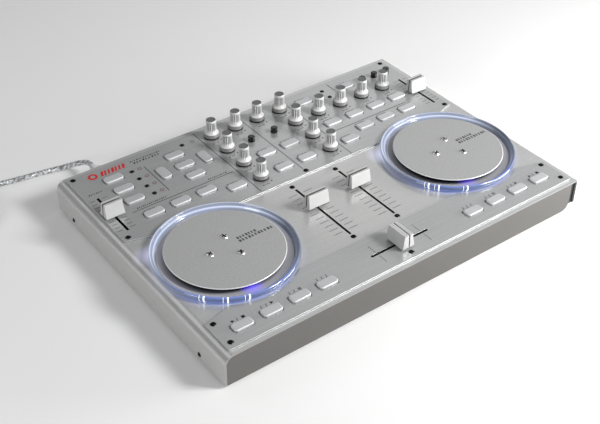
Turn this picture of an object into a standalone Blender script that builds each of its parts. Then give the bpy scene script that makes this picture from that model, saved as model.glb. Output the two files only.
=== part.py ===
"""A two-deck DJ controller, built from its separate sub-parts.

A flat metal case carries two jog wheels, five faders, fourteen knobs, five trim
knobs and thirty-four keys, with the circuit board inside and a USB cable behind.
Frame: X to the right, Y to the back, Z up; the origin is on the surface that the
feet stand on, below the middle of the case. Lengths are in millimetres, and MM
turns them into Blender's metres.
"""

import math

import bmesh
import bpy
from mathutils import Vector

MM = 0.001
GAP = 0.3  # the clearance between two pieces that touch on the real object
CUT_SPARE = 1.0  # how far a cut reaches past the sheet that it opens
BEND_STEPS = 6
SMALL_BEND_STEPS = 4

# Case
CASE_WIDTH = 378.0
CASE_DEPTH = 269.4
CASE_TOP = 31.5
CASE_BOTTOM = 2.3
COVER_BOTTOM = 3.0
SHEET = 1.5
LEFT_BEND = 8.5
RIGHT_BEND = 3.0
RIGHT_FLANGE_BOTTOM = 8.0
TRAY_RIGHT = 181.3
TRAY_CORNER = 8.0
HOLLOW_RISE = 2.0  # how far the tray's hollow runs out at its top
RAIL_HEAD_DEPTH = 2.8
RAIL_INSET = 0.2
RAIL_BOTTOM = 7.6
FOOT_RADIUS = 7.0
FOOT_HEIGHT = 2.0
FOOT_TAPER = 0.8
FOOT_PLACES = {
    "front_left_foot": (-165.0, -113.0),
    "front_right_foot": (165.0, -113.0),
    "rear_left_foot": (-165.0, 113.0),
    "rear_right_foot": (165.0, 113.0),
}

# Raised plates
PLATE_TOP = 33.0
PLATE_THICK = 1.2
REAR_PLATE_HALF = 181.4
REAR_PLATE_BACK = 129.3
REAR_PLATE_FRONT = 14.3
FRONT_PLATE_HALF = 181.9
FRONT_PLATE_BACK = -87.0
FRONT_PLATE_FRONT = -130.1
PLATE_CUT_STEPS = 12
REAR_CUT_END = 123.5  # the angle about the left jog wheel at which the rear plate's cut ends
REAR_PLATE_CORNERS = ((-172.0, 22.6), (-REAR_PLATE_HALF, 25.1))
FRONT_CUT_END = -120.5
FRONT_PLATE_CORNER = (-FRONT_PLATE_HALF, -96.8)
REAR_WINDOW = (-160.0, 160.0, 27.9, 123.5)  # x low, x high, y low, y high
FRONT_WINDOW = (-172.0, 172.0, -121.8, -100.0)

# Jog wheels
JOG_X = 122.3
JOG_Y = -35.1
JOG_SEGMENTS = 48
BEARING_SEGMENTS = 24
PLATTER_RADIUS = 50.8
PLATTER_TOP = 37.7
PLATTER_THICK = 2.0
PLATTER_CHAMFER = 0.6
RING_SECTION = (  # radius and z: up the outer wall, over the crest, down the inside and its sleeve
    (59.6, 31.8),
    (61.3, 33.4),
    (62.0, 35.2),
    (61.9, 36.8),
    (61.2, 37.9),
    (60.2, 38.1),
    (57.8, 35.2),
    (56.4, 33.4),
    (56.4, 29.2),
    (57.4, 29.2),
    (57.4, 31.8),
)
COVER_HOLE_RADIUS = 58.0
PLATE_CUT_RADIUS = 63.6
DISH_RADIUS = 56.0
DISH_TOP = 32.7
DISH_THICK = 1.4
BOSS_RADIUS = 8.0
BOSS_BOTTOM = 19.0
SPINDLE_RADIUS = 3.0
SPINDLE_FIT = 0.08
HUB_RADIUS = 18.0
HUB_THICK = 2.0
CLIP_GAP = 0.4
CLIP_LIP = 1.4

# Knobs
KNOB_SEGMENTS = 16
TRIM_SEGMENTS = 10
HOLE_SEGMENTS = 8
SHAFT_ROOM = 0.5
SKIRT_RADIUS = 7.3
SKIRT_TOP = 39.4
KNOB_RADIUS = 4.9
KNOB_TOP = 52.0
KNOB_BASE = 33.4
SHAFT_RADIUS = 3.0
SHAFT_BOTTOM = 28.5
CHANNEL_KNOB_X = 39.0
CHANNEL_KNOB_ROWS = {"gain": 113.8, "high": 87.2, "mid": 60.2, "low": 33.2}
LEVEL_KNOBS = {"cue_level_knob": (-12.5, 113.5), "master_level_knob": (12.5, 113.5)}
EFFECT_KNOB_Y = 88.5
EFFECT_KNOB_X = (67.6, 94.3, 121.0, 147.7)
TRIM_RADIUS = 3.3
TRIM_TOP = 38.4
TRIM_SHAFT = 1.6
TRIM_OPENING_HALF = 2.6
TRIM_PLACES = {
    "left_balance_trim": (-13.0, 86.0),
    "right_balance_trim": (13.0, 86.0),
    "mic_trim": (139.0, 109.5),
    "phones_trim": (154.6, 109.5),
    "line_trim": (170.2, 109.5),
}

# Keys
KEY_LONG = 17.5
KEY_SHORT = 8.8
KEY_TOP = 35.0
KEY_CHAMFER = 0.8
KEY_HOLE_GAP = 0.3
FLANGE_LIP = 1.1
FLANGE_BOTTOM = 29.9
FLANGE_TOP = 31.2
KEY_BOTTOM = 25.0
PLUNGER_HALF = 2.4
WEB_HALF = 1.8
WEB_LAYERS = ((25.2, 27.0), (25.3, 26.8))  # z of the bars along X, and of those along Y
FRONT_KEY_X = (78.8, 105.6, 132.4, 159.2)
FRONT_KEY_Y = -114.0
SELECT_X = -146.2
SELECT_ROWS = (107.6, 89.0, 70.3)
LOOP_Y = 44.2
LOOP_X = (89.2, 115.3, 141.8)
INNER_LOOP_KEY = (63.6, 34.4)
NAVIGATION_X = -83.8
NAVIGATION_Y = 88.9
NAVIGATION_ROWS = (107.1, NAVIGATION_Y, 70.8)
NAVIGATION_SIDES = (-105.9, -62.2)
MIXER_KEY_X = 13.0
MIXER_KEY_ROWS = (61.4, 34.4)
MIXER_WEB_Y = 48.0
EFFECT_KEY_Y = 66.4
EFFECT_TOP_Y = 111.6
EFFECT_TOP_X = (66.6, 118.7)
EFFECT_WEB_X = 80.9

# Faders
SLOT_WIDTH = 2.2
CHANNEL_SLOT_X = 24.0
CHANNEL_SLOT_Y = (-75.2, 1.7)
TEMPO_SLOT_X = 171.4
TEMPO_SLOT_Y = (36.4, 90.4)
TEMPO_OPENING = 5.0
CROSS_SLOT_Y = -109.6
CROSS_SLOT_X = (-30.2, 30.2)
CAP_BASE = 34.8
CAP_TOP = 47.4
CAP_LIP = 1.5
CAP_LEAN = (0.5, 1.9)  # across the slot, and along it
CAP_EDGE = (0.4, 0.5)
STEM_THICK = 1.2
STEM_LONG = 6.0
STEM_BOTTOM = 24.0
CHANNEL_CAP = (21.8, 9.4)  # across the slot, along it
TEMPO_CAP = (18.2, 12.4)
CROSS_CAP = (21.4, 12.6)
LEFT_CHANNEL_REST = -28.1
RIGHT_CHANNEL_REST = -25.8
LEFT_TEMPO_REST = 62.6
RIGHT_TEMPO_REST = 65.1
CROSS_REST = 0.1

# Circuit board
BOARD_LOW = (-172.0, -124.0, 12.0)
BOARD_HIGH = (176.0, 116.5, 13.6)
SOLDER_DEPTH = 0.8
POT_HALF = 5.4
POT_TOP = 28.2
TRIM_POT_HALF = 3.4
SWITCH_HALF = 3.0
SWITCH_TOP = 23.6
FADER_UNIT_HALF = 6.0
SLIM_UNIT_HALF = 4.0
FADER_UNIT_TOP = 23.0
FADER_UNIT_SPARE = 6.0

# USB cable, with its socket and plugs
USB_X = -140.0
USB_Z = 13.0
SOCKET_HALF_WIDTH = 6.0
SOCKET_HALF_HEIGHT = 5.4
SOCKET_FRONT = 118.5
SOCKET_BACK = 133.7
SOCKET_MOUTH = (4.5, 4.15)  # half width and half height of its opening
SOCKET_DEPTH = 11.0
B_PLUG_SHELL = (4.2, 3.85)
B_PLUG_TIP = 125.5
B_PLUG_BODY = (6.2, 5.4)
B_PLUG_FACE = 134.6
B_PLUG_END = 154.6
RELIEF_RADIUS = (4.0, 3.1)  # at the plug's body, and at its far end
B_RELIEF_END = 163.6
CABLE_RADIUS = 2.5
CABLE_REST_Z = 2.6
CABLE_STEP = 9.0
ROUTE_STEPS = 20
PLUG_SIDES = 12
ROUTE = (
    (-140.0, 164.2, 13.0),
    (-140.1, 168.0, 12.9),
    (-141.0, 172.4, 12.1),
    (-143.1, 177.2, 10.4),
    (-146.4, 181.8, 8.2),
    (-151.8, 187.0, 5.2),
    (-158.8, 190.8, 3.2),
    (-167.0, 193.2, CABLE_REST_Z),
    (-176.0, 194.8, CABLE_REST_Z),
    (-186.0, 196.2, CABLE_REST_Z),
    (-196.0, 197.8, CABLE_REST_Z),
    (-206.0, 199.6, CABLE_REST_Z),
    (-216.0, 201.5, CABLE_REST_Z),
    (-227.0, 203.4, CABLE_REST_Z),
    (-238.0, 204.9, CABLE_REST_Z),
    (-248.0, 205.7, CABLE_REST_Z),
    (-257.6, 205.8, CABLE_REST_Z),
)
COIL_CENTRE = (-277.0, 172.0)
COIL_OUTER_TURN = 33.8
COIL_INNER_TURN = 18.5
COIL_SEGMENTS = 28
COIL_TOP = 10.6
COIL_BOTTOM = 0.1
COIL_ROOM = 0.2
A_PLUG_START = 150.3
A_PLUG_Z = 4.2
A_RELIEF_LENGTH = 10.0
A_PLUG_BODY = (7.8, 4.0)
A_PLUG_BODY_LENGTH = 24.0
A_PLUG_SHELL = (6.0, 2.25)
A_PLUG_SHELL_LENGTH = 12.0

HALF_WIDTH = CASE_WIDTH / 2
HALF_DEPTH = CASE_DEPTH / 2
PLATE_BOTTOM = PLATE_TOP - PLATE_THICK
PLATE_CUT_Z = (PLATE_BOTTOM - CUT_SPARE, PLATE_TOP + CUT_SPARE)
COVER_UNDER = CASE_TOP - SHEET

MATERIALS = {
    "brushed_aluminium": ((0.56, 0.56, 0.55), 0.85, 0.38),
    "plate_aluminium": ((0.52, 0.52, 0.51), 0.85, 0.36),
    "painted_steel": ((0.13, 0.12, 0.115), 0.2, 0.5),
    "black_plastic": ((0.02, 0.02, 0.02), 0.0, 0.45),
    "rubber": ((0.03, 0.03, 0.03), 0.0, 0.85),
    "platter_silver": ((0.5, 0.5, 0.49), 0.7, 0.42),
    "clear_ring": ((0.55, 0.6, 0.85), 0.0, 0.15),
    "dish_grey": ((0.35, 0.35, 0.36), 0.1, 0.5),
    "steel": ((0.62, 0.62, 0.62), 1.0, 0.25),
    "white_plastic": ((0.85, 0.85, 0.84), 0.0, 0.35),
    "key_plastic": ((0.62, 0.63, 0.65), 0.0, 0.3),
    "board_green": ((0.03, 0.16, 0.07), 0.0, 0.5),
    "cable_clear": ((0.78, 0.8, 0.83), 0.1, 0.25),
}


def make_material(name):
    """The Principled material of that name, made once."""
    found = bpy.data.materials.get(name)
    if found:
        return found
    colour, metallic, roughness = MATERIALS[name]
    made = bpy.data.materials.new(name)
    made.use_nodes = True
    shader = made.node_tree.nodes["Principled BSDF"]
    shader.inputs["Base Color"].default_value = (*colour, 1.0)
    shader.inputs["Metallic"].default_value = metallic
    shader.inputs["Roughness"].default_value = roughness
    return made


def add_object(name, bm, material, origin=(0.0, 0.0, 0.0), smooth=False):
    """Turn a bmesh in millimetres into an object in metres, its origin at the given place."""
    start = Vector(origin)
    for vert in bm.verts:
        vert.co = (vert.co - start) * MM
    bmesh.ops.recalc_face_normals(bm, faces=bm.faces)
    mesh = bpy.data.meshes.new(name)
    bm.to_mesh(mesh)
    bm.free()
    if smooth:
        mesh.shade_smooth()
        mesh.set_sharp_from_angle(angle=math.radians(30))
    made = bpy.data.objects.new(name, mesh)
    made.location = start * MM
    bpy.context.scene.collection.objects.link(made)
    made.data.materials.append(make_material(material))
    return made


def add_tool(name, bm, origin=(0.0, 0.0, 0.0)):
    """An object that only shapes others: hidden from the render and drawn as a wire."""
    tool = add_object(name, bm, "black_plastic", origin)
    tool.hide_render = True
    tool.display_type = "WIRE"
    return tool


def combine(target, tool, operation):
    """Put an exact Boolean modifier on the target."""
    modifier = target.modifiers.new(tool.name, "BOOLEAN")
    modifier.operation = operation
    modifier.solver = "EXACT"
    modifier.object = tool


def arc(centre, radius, first, last, steps):
    """Points on an arc about the centre, from the first angle to the last, in degrees."""
    points = []
    for i in range(steps + 1):
        angle = math.radians(first + (last - first) * i / steps)
        points.append((centre[0] + radius * math.cos(angle), centre[1] + radius * math.sin(angle)))
    return points


def add_prism(bm, outline, low, high, axis="z"):
    """Extrude a flat outline: in XY along Z, or with axis "y" in XZ along Y."""

    def place(point, height):
        if axis == "z":
            return (point[0], point[1], height)
        return (point[0], height, point[1])

    bottom = [bm.verts.new(place(p, low)) for p in outline]
    top = [bm.verts.new(place(p, high)) for p in outline]
    count = len(outline)
    bm.faces.new(bottom[::-1])
    bm.faces.new(top)
    for i in range(count):
        j = (i + 1) % count
        bm.faces.new((bottom[i], bottom[j], top[j], top[i]))


def add_box(bm, x, y, z):
    """A box from its low and high value on each axis."""
    outline = [(x[0], y[0]), (x[1], y[0]), (x[1], y[1]), (x[0], y[1])]
    add_prism(bm, outline, z[0], z[1])


def add_block(bm, centre, half, z):
    """A box about a centre in XY, from its half sizes."""
    x = (centre[0] - half[0], centre[0] + half[0])
    y = (centre[1] - half[1], centre[1] + half[1])
    add_box(bm, x, y, z)


def add_turned(bm, profile, centre, segments):
    """Turn a closed profile of (radius, z) points about a vertical axis; a radius of 0 is a pole."""
    rings = []
    for radius, z in profile:
        if radius == 0:
            rings.append([bm.verts.new((centre[0], centre[1], z))])
            continue
        circle = arc(centre, radius, 0, 360, segments)[:-1]
        rings.append([bm.verts.new((x, y, z)) for x, y in circle])
    for ring, following in zip(rings, rings[1:] + rings[:1]):
        for i in range(segments):
            j = (i + 1) % segments
            corners = [ring[i % len(ring)], ring[j % len(ring)]]
            corners += [following[j % len(following)], following[i % len(following)]]
            distinct = list(dict.fromkeys(corners))
            if len(distinct) > 2:
                bm.faces.new(distinct)


def new_turned(name, profile, centre, segments, material):
    """A turned object whose origin is on its own axis."""
    bm = bmesh.new()
    add_turned(bm, profile, centre, segments)
    return add_object(name, bm, material, (centre[0], centre[1], 0.0), smooth=True)


# Case


def sheet_outline():
    """The cover's cross-section: flanges down both sides, and the bends between."""
    left = -HALF_WIDTH
    right = HALF_WIDTH
    left_centre = (left + LEFT_BEND, CASE_TOP - LEFT_BEND)
    right_centre = (right - RIGHT_BEND, CASE_TOP - RIGHT_BEND)
    outline = [(left, COVER_BOTTOM)]
    outline += arc(left_centre, LEFT_BEND, 180, 90, BEND_STEPS)
    outline += arc(right_centre, RIGHT_BEND, 90, 0, SMALL_BEND_STEPS)
    outline += [(right, RIGHT_FLANGE_BOTTOM), (right - SHEET, RIGHT_FLANGE_BOTTOM)]
    outline += arc(right_centre, RIGHT_BEND - SHEET, 0, 90, SMALL_BEND_STEPS)
    outline += arc(left_centre, LEFT_BEND - SHEET, 90, 180, BEND_STEPS)
    outline += [(left + SHEET, COVER_BOTTOM)]
    return outline


def make_top_cover():
    """The bent sheet with its jog holes, the windows under the plates and the fader slots."""
    bm = bmesh.new()
    add_prism(bm, sheet_outline(), -HALF_DEPTH, HALF_DEPTH, "y")
    cover = add_object("top_cover", bm, "brushed_aluminium")
    low, high = COVER_UNDER - CUT_SPARE, CASE_TOP + CUT_SPARE
    cuts = bmesh.new()
    for side in (-1, 1):
        profile = [(0, high), (COVER_HOLE_RADIUS, high), (COVER_HOLE_RADIUS, low), (0, low)]
        add_turned(cuts, profile, (side * JOG_X, JOG_Y), JOG_SEGMENTS)
        add_box(cuts, slot_span(side * CHANNEL_SLOT_X), CHANNEL_SLOT_Y, (low, high))
        tempo_ends = (TEMPO_SLOT_Y[0] - CUT_SPARE, TEMPO_SLOT_Y[1] + CUT_SPARE)
        add_box(cuts, slot_span(side * TEMPO_SLOT_X, TEMPO_OPENING), tempo_ends, (low, high))
    for window in (REAR_WINDOW, FRONT_WINDOW):
        add_box(cuts, window[:2], window[2:], (low, high))
    line_trim = TRIM_PLACES["line_trim"]
    add_block(cuts, line_trim, (TRIM_OPENING_HALF, TRIM_OPENING_HALF), (low, high))
    rail_front = -HALF_DEPTH + RAIL_HEAD_DEPTH + 2 * GAP
    corner = (HALF_WIDTH - RIGHT_BEND - GAP, HALF_WIDTH + CUT_SPARE)
    add_box(cuts, corner, (-HALF_DEPTH - CUT_SPARE, rail_front), (CASE_BOTTOM, COVER_UNDER))
    combine(cover, add_tool("cover_cuts", cuts), "DIFFERENCE")


def slot_span(centre, width=SLOT_WIDTH):
    """The two sides of a slot about its centre line."""
    return (centre - width / 2, centre + width / 2)


def tray_outline(inset):
    """The tray's cross-section: square at the top left inside the bend, round at the lower right."""
    left = -HALF_WIDTH + SHEET + GAP + inset
    right = TRAY_RIGHT - inset
    bottom = CASE_BOTTOM + inset
    top = COVER_UNDER - GAP + (HOLLOW_RISE if inset else 0.0)
    bend = LEFT_BEND - SHEET
    outline = [(left, bottom)]
    corner = (TRAY_RIGHT - TRAY_CORNER, CASE_BOTTOM + TRAY_CORNER)
    outline += arc(corner, TRAY_CORNER - inset, 270, 360, BEND_STEPS)
    outline += [(right, top)]
    if inset:
        outline += [(left + bend, top), (left, COVER_UNDER - GAP - bend - inset)]
    else:
        outline += arc((left + bend, top - bend), bend, 90, 180, BEND_STEPS)
    return outline


def make_base_tray():
    """The tray with the dark front panel, open at the top, with the socket's hole in its back."""
    front = -HALF_DEPTH + GAP
    back = HALF_DEPTH - 2 * GAP
    bm = bmesh.new()
    add_prism(bm, tray_outline(0.0), front, back, "y")
    tray = add_object("base_tray", bm, "painted_steel")
    hollow = bmesh.new()
    add_prism(hollow, tray_outline(SHEET), front + SHEET, back - SHEET, "y")
    combine(tray, add_tool("tray_hollow", hollow), "DIFFERENCE")
    mouth = bmesh.new()
    x = (USB_X - SOCKET_HALF_WIDTH - GAP, USB_X + SOCKET_HALF_WIDTH + GAP)
    z = (USB_Z - SOCKET_HALF_HEIGHT - GAP, USB_Z + SOCKET_HALF_HEIGHT + GAP)
    add_box(mouth, x, (back - SHEET - CUT_SPARE, back + CUT_SPARE), z)
    combine(tray, add_tool("tray_mouth", mouth), "DIFFERENCE")


def make_side_rail():
    """The black rail beside the tray, under the cover's right edge; its head closes the flange's end."""
    inner = TRAY_RIGHT + GAP
    flange = HALF_WIDTH - RIGHT_BEND - GAP
    front = -HALF_DEPTH + GAP / 2
    head = front + RAIL_HEAD_DEPTH
    back = HALF_DEPTH - 2 * GAP
    outer = HALF_WIDTH - RAIL_INSET
    outline = [(inner, front), (outer, front), (outer, head), (flange, head), (flange, back), (inner, back)]
    bm = bmesh.new()
    add_prism(bm, outline, RAIL_BOTTOM, COVER_UNDER - GAP)
    add_object("right_side_rail", bm, "black_plastic")


def make_feet():
    """Four round rubber feet."""
    for name, place in FOOT_PLACES.items():
        profile = [(0, FOOT_HEIGHT), (FOOT_RADIUS, FOOT_HEIGHT), (FOOT_RADIUS - FOOT_TAPER, 0), (0, 0)]
        new_turned(name, profile, place, KNOB_SEGMENTS, "rubber")


# Raised plates


def angle_at(y):
    """The angle, in degrees, at which the plates' round cut about a jog reaches that y."""
    return math.degrees(math.asin((y - JOG_Y) / PLATE_CUT_RADIUS))


def mirrored(points):
    """The same points on the other side of the middle, in the opposite order."""
    return [(-x, y) for x, y in reversed(points)]


def rear_plate_outline():
    centre = (-JOG_X, JOG_Y)
    left = arc(centre, PLATE_CUT_RADIUS, angle_at(REAR_PLATE_FRONT), REAR_CUT_END, PLATE_CUT_STEPS)
    left += [*REAR_PLATE_CORNERS, (-REAR_PLATE_HALF, REAR_PLATE_BACK)]
    return left + mirrored(left)


def front_plate_outline():
    centre = (-JOG_X, JOG_Y)
    left = arc(centre, PLATE_CUT_RADIUS, angle_at(FRONT_PLATE_BACK), FRONT_CUT_END, PLATE_CUT_STEPS)
    left += [FRONT_PLATE_CORNER, (-FRONT_PLATE_HALF, FRONT_PLATE_FRONT)]
    return left + mirrored(left)


def key_half(upright):
    """Half the size of a key in X and Y; an upright key stands on its short side."""
    half = (KEY_LONG / 2, KEY_SHORT / 2)
    return half[::-1] if upright else half


def grown(half, by):
    return (half[0] + by, half[1] + by)


def key_holes(bm, places):
    for x, y, upright in places:
        add_block(bm, (x, y), grown(key_half(upright), KEY_HOLE_GAP), PLATE_CUT_Z)


def round_holes(bm, places, radius):
    low, high = PLATE_CUT_Z
    for place in places:
        profile = [(0, high), (radius, high), (radius, low), (0, low)]
        add_turned(bm, profile, place, HOLE_SEGMENTS)


def make_plate(name, outline, cuts):
    bm = bmesh.new()
    add_prism(bm, outline, PLATE_BOTTOM, PLATE_TOP)
    plate = add_object(name, bm, "plate_aluminium")
    combine(plate, add_tool(name + "_cuts", cuts), "DIFFERENCE")


def make_rear_plate():
    cuts = bmesh.new()
    for places, _ in KEY_GROUPS.values():
        key_holes(cuts, places)
    round_holes(cuts, knob_places().values(), SHAFT_RADIUS + SHAFT_ROOM)
    round_holes(cuts, TRIM_PLACES.values(), TRIM_SHAFT + SHAFT_ROOM)
    for side in (-1, 1):
        add_box(cuts, slot_span(side * TEMPO_SLOT_X), TEMPO_SLOT_Y, PLATE_CUT_Z)
    make_plate("rear_plate", rear_plate_outline(), cuts)


def make_front_plate():
    cuts = bmesh.new()
    key_holes(cuts, [(side * x, FRONT_KEY_Y, False) for side in (-1, 1) for x in FRONT_KEY_X])
    add_box(cuts, CROSS_SLOT_X, slot_span(CROSS_SLOT_Y), PLATE_CUT_Z)
    make_plate("front_plate", front_plate_outline(), cuts)


# Jog wheels


def make_jog(side, x):
    """One jog wheel: the clear ring and the bearing dish are fixed, the platter and spindle turn."""
    centre = (x, JOG_Y)
    new_turned(side + "_jog_ring", RING_SECTION, centre, JOG_SEGMENTS, "clear_ring")
    bore = SPINDLE_RADIUS + SPINDLE_FIT
    dish = [
        (bore, DISH_TOP),
        (DISH_RADIUS, DISH_TOP),
        (DISH_RADIUS, DISH_TOP - DISH_THICK),
        (BOSS_RADIUS, DISH_TOP - DISH_THICK),
        (BOSS_RADIUS, BOSS_BOTTOM),
        (bore, BOSS_BOTTOM),
    ]
    new_turned(side + "_jog_bearing", dish, centre, BEARING_SEGMENTS, "dish_grey")
    under = PLATTER_TOP - PLATTER_THICK
    platter = [
        (0, PLATTER_TOP),
        (PLATTER_RADIUS - PLATTER_CHAMFER, PLATTER_TOP),
        (PLATTER_RADIUS, PLATTER_TOP - PLATTER_CHAMFER),
        (PLATTER_RADIUS, under),
        (0, under),
    ]
    new_turned(side + "_jog_platter", platter, centre, JOG_SEGMENTS, "platter_silver")
    hub_top = under - GAP
    clip_top = BOSS_BOTTOM - CLIP_GAP
    clip_radius = SPINDLE_RADIUS + CLIP_LIP
    spindle = [
        (0, hub_top),
        (HUB_RADIUS, hub_top),
        (HUB_RADIUS, hub_top - HUB_THICK),
        (SPINDLE_RADIUS, hub_top - HUB_THICK),
        (SPINDLE_RADIUS, clip_top),
        (clip_radius, clip_top),
        (clip_radius, clip_top - CLIP_LIP),
        (0, clip_top - CLIP_LIP),
    ]
    new_turned(side + "_jog_spindle", spindle, centre, BEARING_SEGMENTS, "steel")


# Knobs


def knob_places():
    """Name and place of each of the fourteen knobs."""
    places = dict(LEVEL_KNOBS)
    for side, sign in (("left", -1), ("right", 1)):
        for row, y in CHANNEL_KNOB_ROWS.items():
            places[f"{side}_{row}_knob"] = (sign * CHANNEL_KNOB_X, y)
    for number, x in enumerate(EFFECT_KNOB_X, 1):
        places[f"effect_knob_{number}"] = (x, EFFECT_KNOB_Y)
    return places


def make_knobs():
    profile = [
        (0, KNOB_TOP),
        (KNOB_RADIUS, KNOB_TOP),
        (KNOB_RADIUS, SKIRT_TOP),
        (SKIRT_RADIUS, SKIRT_TOP),
        (SKIRT_RADIUS, KNOB_BASE),
        (SHAFT_RADIUS, KNOB_BASE),
        (SHAFT_RADIUS, SHAFT_BOTTOM),
        (0, SHAFT_BOTTOM),
    ]
    for name, place in knob_places().items():
        new_turned(name, profile, place, KNOB_SEGMENTS, "white_plastic")


def make_trims():
    profile = [
        (0, TRIM_TOP),
        (TRIM_RADIUS, TRIM_TOP),
        (TRIM_RADIUS, KNOB_BASE),
        (TRIM_SHAFT, KNOB_BASE),
        (TRIM_SHAFT, SHAFT_BOTTOM),
        (0, SHAFT_BOTTOM),
    ]
    for name, place in TRIM_PLACES.items():
        new_turned(name, profile, place, TRIM_SEGMENTS, "black_plastic")


# Keys


def add_key(bm, x, y, upright):
    """One key: its bevelled cap, the flange that holds it under the plate, and its plunger."""
    half = key_half(upright)
    flange = grown(half, FLANGE_LIP)
    outlines = [
        (PLUNGER_HALF, PLUNGER_HALF, KEY_BOTTOM),
        (PLUNGER_HALF, PLUNGER_HALF, FLANGE_BOTTOM),
        (*flange, FLANGE_BOTTOM),
        (*flange, FLANGE_TOP),
        (*half, FLANGE_TOP),
        (*half, KEY_TOP - KEY_CHAMFER),
        (*grown(half, -KEY_CHAMFER), KEY_TOP),
    ]
    rings = []
    for a, b, z in outlines:
        corners = ((-a, -b), (a, -b), (a, b), (-a, b))
        rings.append([bm.verts.new((x + i, y + j, z)) for i, j in corners])
    bm.faces.new(rings[0][::-1])
    bm.faces.new(rings[-1])
    for ring, following in zip(rings, rings[1:]):
        for i in range(4):
            j = (i + 1) % 4
            bm.faces.new((ring[i], ring[j], following[j], following[i]))


def row(xs, y):
    return [(x, y, False) for x in xs]


def web(start, end):
    """A bar of the web that joins a group's keys, from one place to another along X or Y."""
    x = (min(start[0], end[0]) - WEB_HALF, max(start[0], end[0]) + WEB_HALF)
    y = (min(start[1], end[1]) - WEB_HALF, max(start[1], end[1]) + WEB_HALF)
    return x, y


# Each group: its keys (x, y, upright), and its webs, first the bars along X, then those along Y.
KEY_GROUPS = {
    "left_deck_keys": (
        [(SELECT_X, y, False) for y in SELECT_ROWS]
        + row([-x for x in LOOP_X], LOOP_Y)
        + row([-INNER_LOOP_KEY[0]], INNER_LOOP_KEY[1]),
        (
            [web((SELECT_X, LOOP_Y), (-INNER_LOOP_KEY[0], LOOP_Y))],
            [
                web((SELECT_X, LOOP_Y), (SELECT_X, SELECT_ROWS[0])),
                web((-INNER_LOOP_KEY[0], INNER_LOOP_KEY[1]), (-INNER_LOOP_KEY[0], LOOP_Y)),
            ],
        ),
    ),
    "navigation_keys": (
        [(NAVIGATION_X, y, False) for y in NAVIGATION_ROWS]
        + [(x, NAVIGATION_Y, True) for x in NAVIGATION_SIDES],
        (
            [web((NAVIGATION_SIDES[0], NAVIGATION_Y), (NAVIGATION_SIDES[1], NAVIGATION_Y))],
            [web((NAVIGATION_X, NAVIGATION_ROWS[2]), (NAVIGATION_X, NAVIGATION_ROWS[0]))],
        ),
    ),
    "mixer_keys": (
        [(side * MIXER_KEY_X, y, False) for side in (-1, 1) for y in MIXER_KEY_ROWS],
        (
            [web((-MIXER_KEY_X, MIXER_WEB_Y), (MIXER_KEY_X, MIXER_WEB_Y))],
            [web((x, MIXER_KEY_ROWS[1]), (x, MIXER_KEY_ROWS[0])) for x in (-MIXER_KEY_X, MIXER_KEY_X)],
        ),
    ),
    "right_effect_keys": (
        row(EFFECT_KNOB_X, EFFECT_KEY_Y) + row(EFFECT_TOP_X, EFFECT_TOP_Y),
        (
            [
                web((EFFECT_KNOB_X[0], EFFECT_KEY_Y), (EFFECT_KNOB_X[3], EFFECT_KEY_Y)),
                web((EFFECT_TOP_X[0], EFFECT_TOP_Y), (EFFECT_TOP_X[1], EFFECT_TOP_Y)),
            ],
            [web((EFFECT_WEB_X, EFFECT_KEY_Y), (EFFECT_WEB_X, EFFECT_TOP_Y))],
        ),
    ),
    "right_loop_keys": (
        row(LOOP_X, LOOP_Y) + row([INNER_LOOP_KEY[0]], INNER_LOOP_KEY[1]),
        (
            [web((INNER_LOOP_KEY[0], LOOP_Y), (LOOP_X[2], LOOP_Y))],
            [web(INNER_LOOP_KEY, (INNER_LOOP_KEY[0], LOOP_Y))],
        ),
    ),
}


def make_front_keys():
    """The eight keys in front of the jog wheels, each on its own."""
    for side, sign in (("left", -1), ("right", 1)):
        for number, x in enumerate(FRONT_KEY_X, 1):
            bm = bmesh.new()
            add_key(bm, sign * x, FRONT_KEY_Y, False)
            place = (sign * x, FRONT_KEY_Y, KEY_TOP)
            add_object(f"{side}_transport_key_{number}", bm, "key_plastic", place)


def make_key_groups():
    """The other keys, joined in groups by a web that runs below the plate."""
    for name, (places, (along_x, along_y)) in KEY_GROUPS.items():
        bm = bmesh.new()
        for place in places:
            add_key(bm, *place)
        keys = add_object(name, bm, "key_plastic", (places[0][0], places[0][1], KEY_TOP))
        for number, (bars, z) in enumerate(zip((along_x, along_y), WEB_LAYERS)):
            tool = bmesh.new()
            for x, y in bars:
                add_box(tool, x, y, z)
            combine(keys, add_tool(f"{name}_web_{number}", tool), "UNION")


# Faders


def make_cap(name, centre, size, along_y):
    """A fader cap that leans in towards its top, on a flat stem that passes through the slot."""
    across, along = size[0] / 2, size[1] / 2
    base_half = (across, along) if along_y else (along, across)
    lean = CAP_LEAN if along_y else CAP_LEAN[::-1]
    top_half = (base_half[0] - lean[0], base_half[1] - lean[1])
    stem = (STEM_THICK / 2, STEM_LONG / 2)
    stem = stem if along_y else stem[::-1]
    rings = [
        (*stem, STEM_BOTTOM),
        (*stem, CAP_BASE),
        (*base_half, CAP_BASE),
        (*base_half, CAP_BASE + CAP_LIP),
        (*top_half, CAP_TOP - CAP_EDGE[1]),
        (*grown(top_half, -CAP_EDGE[0]), CAP_TOP),
    ]
    bm = bmesh.new()
    made = []
    for a, b, z in rings:
        corners = ((-a, -b), (a, -b), (a, b), (-a, b))
        made.append([bm.verts.new((centre[0] + i, centre[1] + j, z)) for i, j in corners])
    bm.faces.new(made[0][::-1])
    bm.faces.new(made[-1])
    for ring, following in zip(made, made[1:]):
        for i in range(4):
            j = (i + 1) % 4
            bm.faces.new((ring[i], ring[j], following[j], following[i]))
    add_object(name, bm, "white_plastic", (centre[0], centre[1], CAP_BASE))


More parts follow.
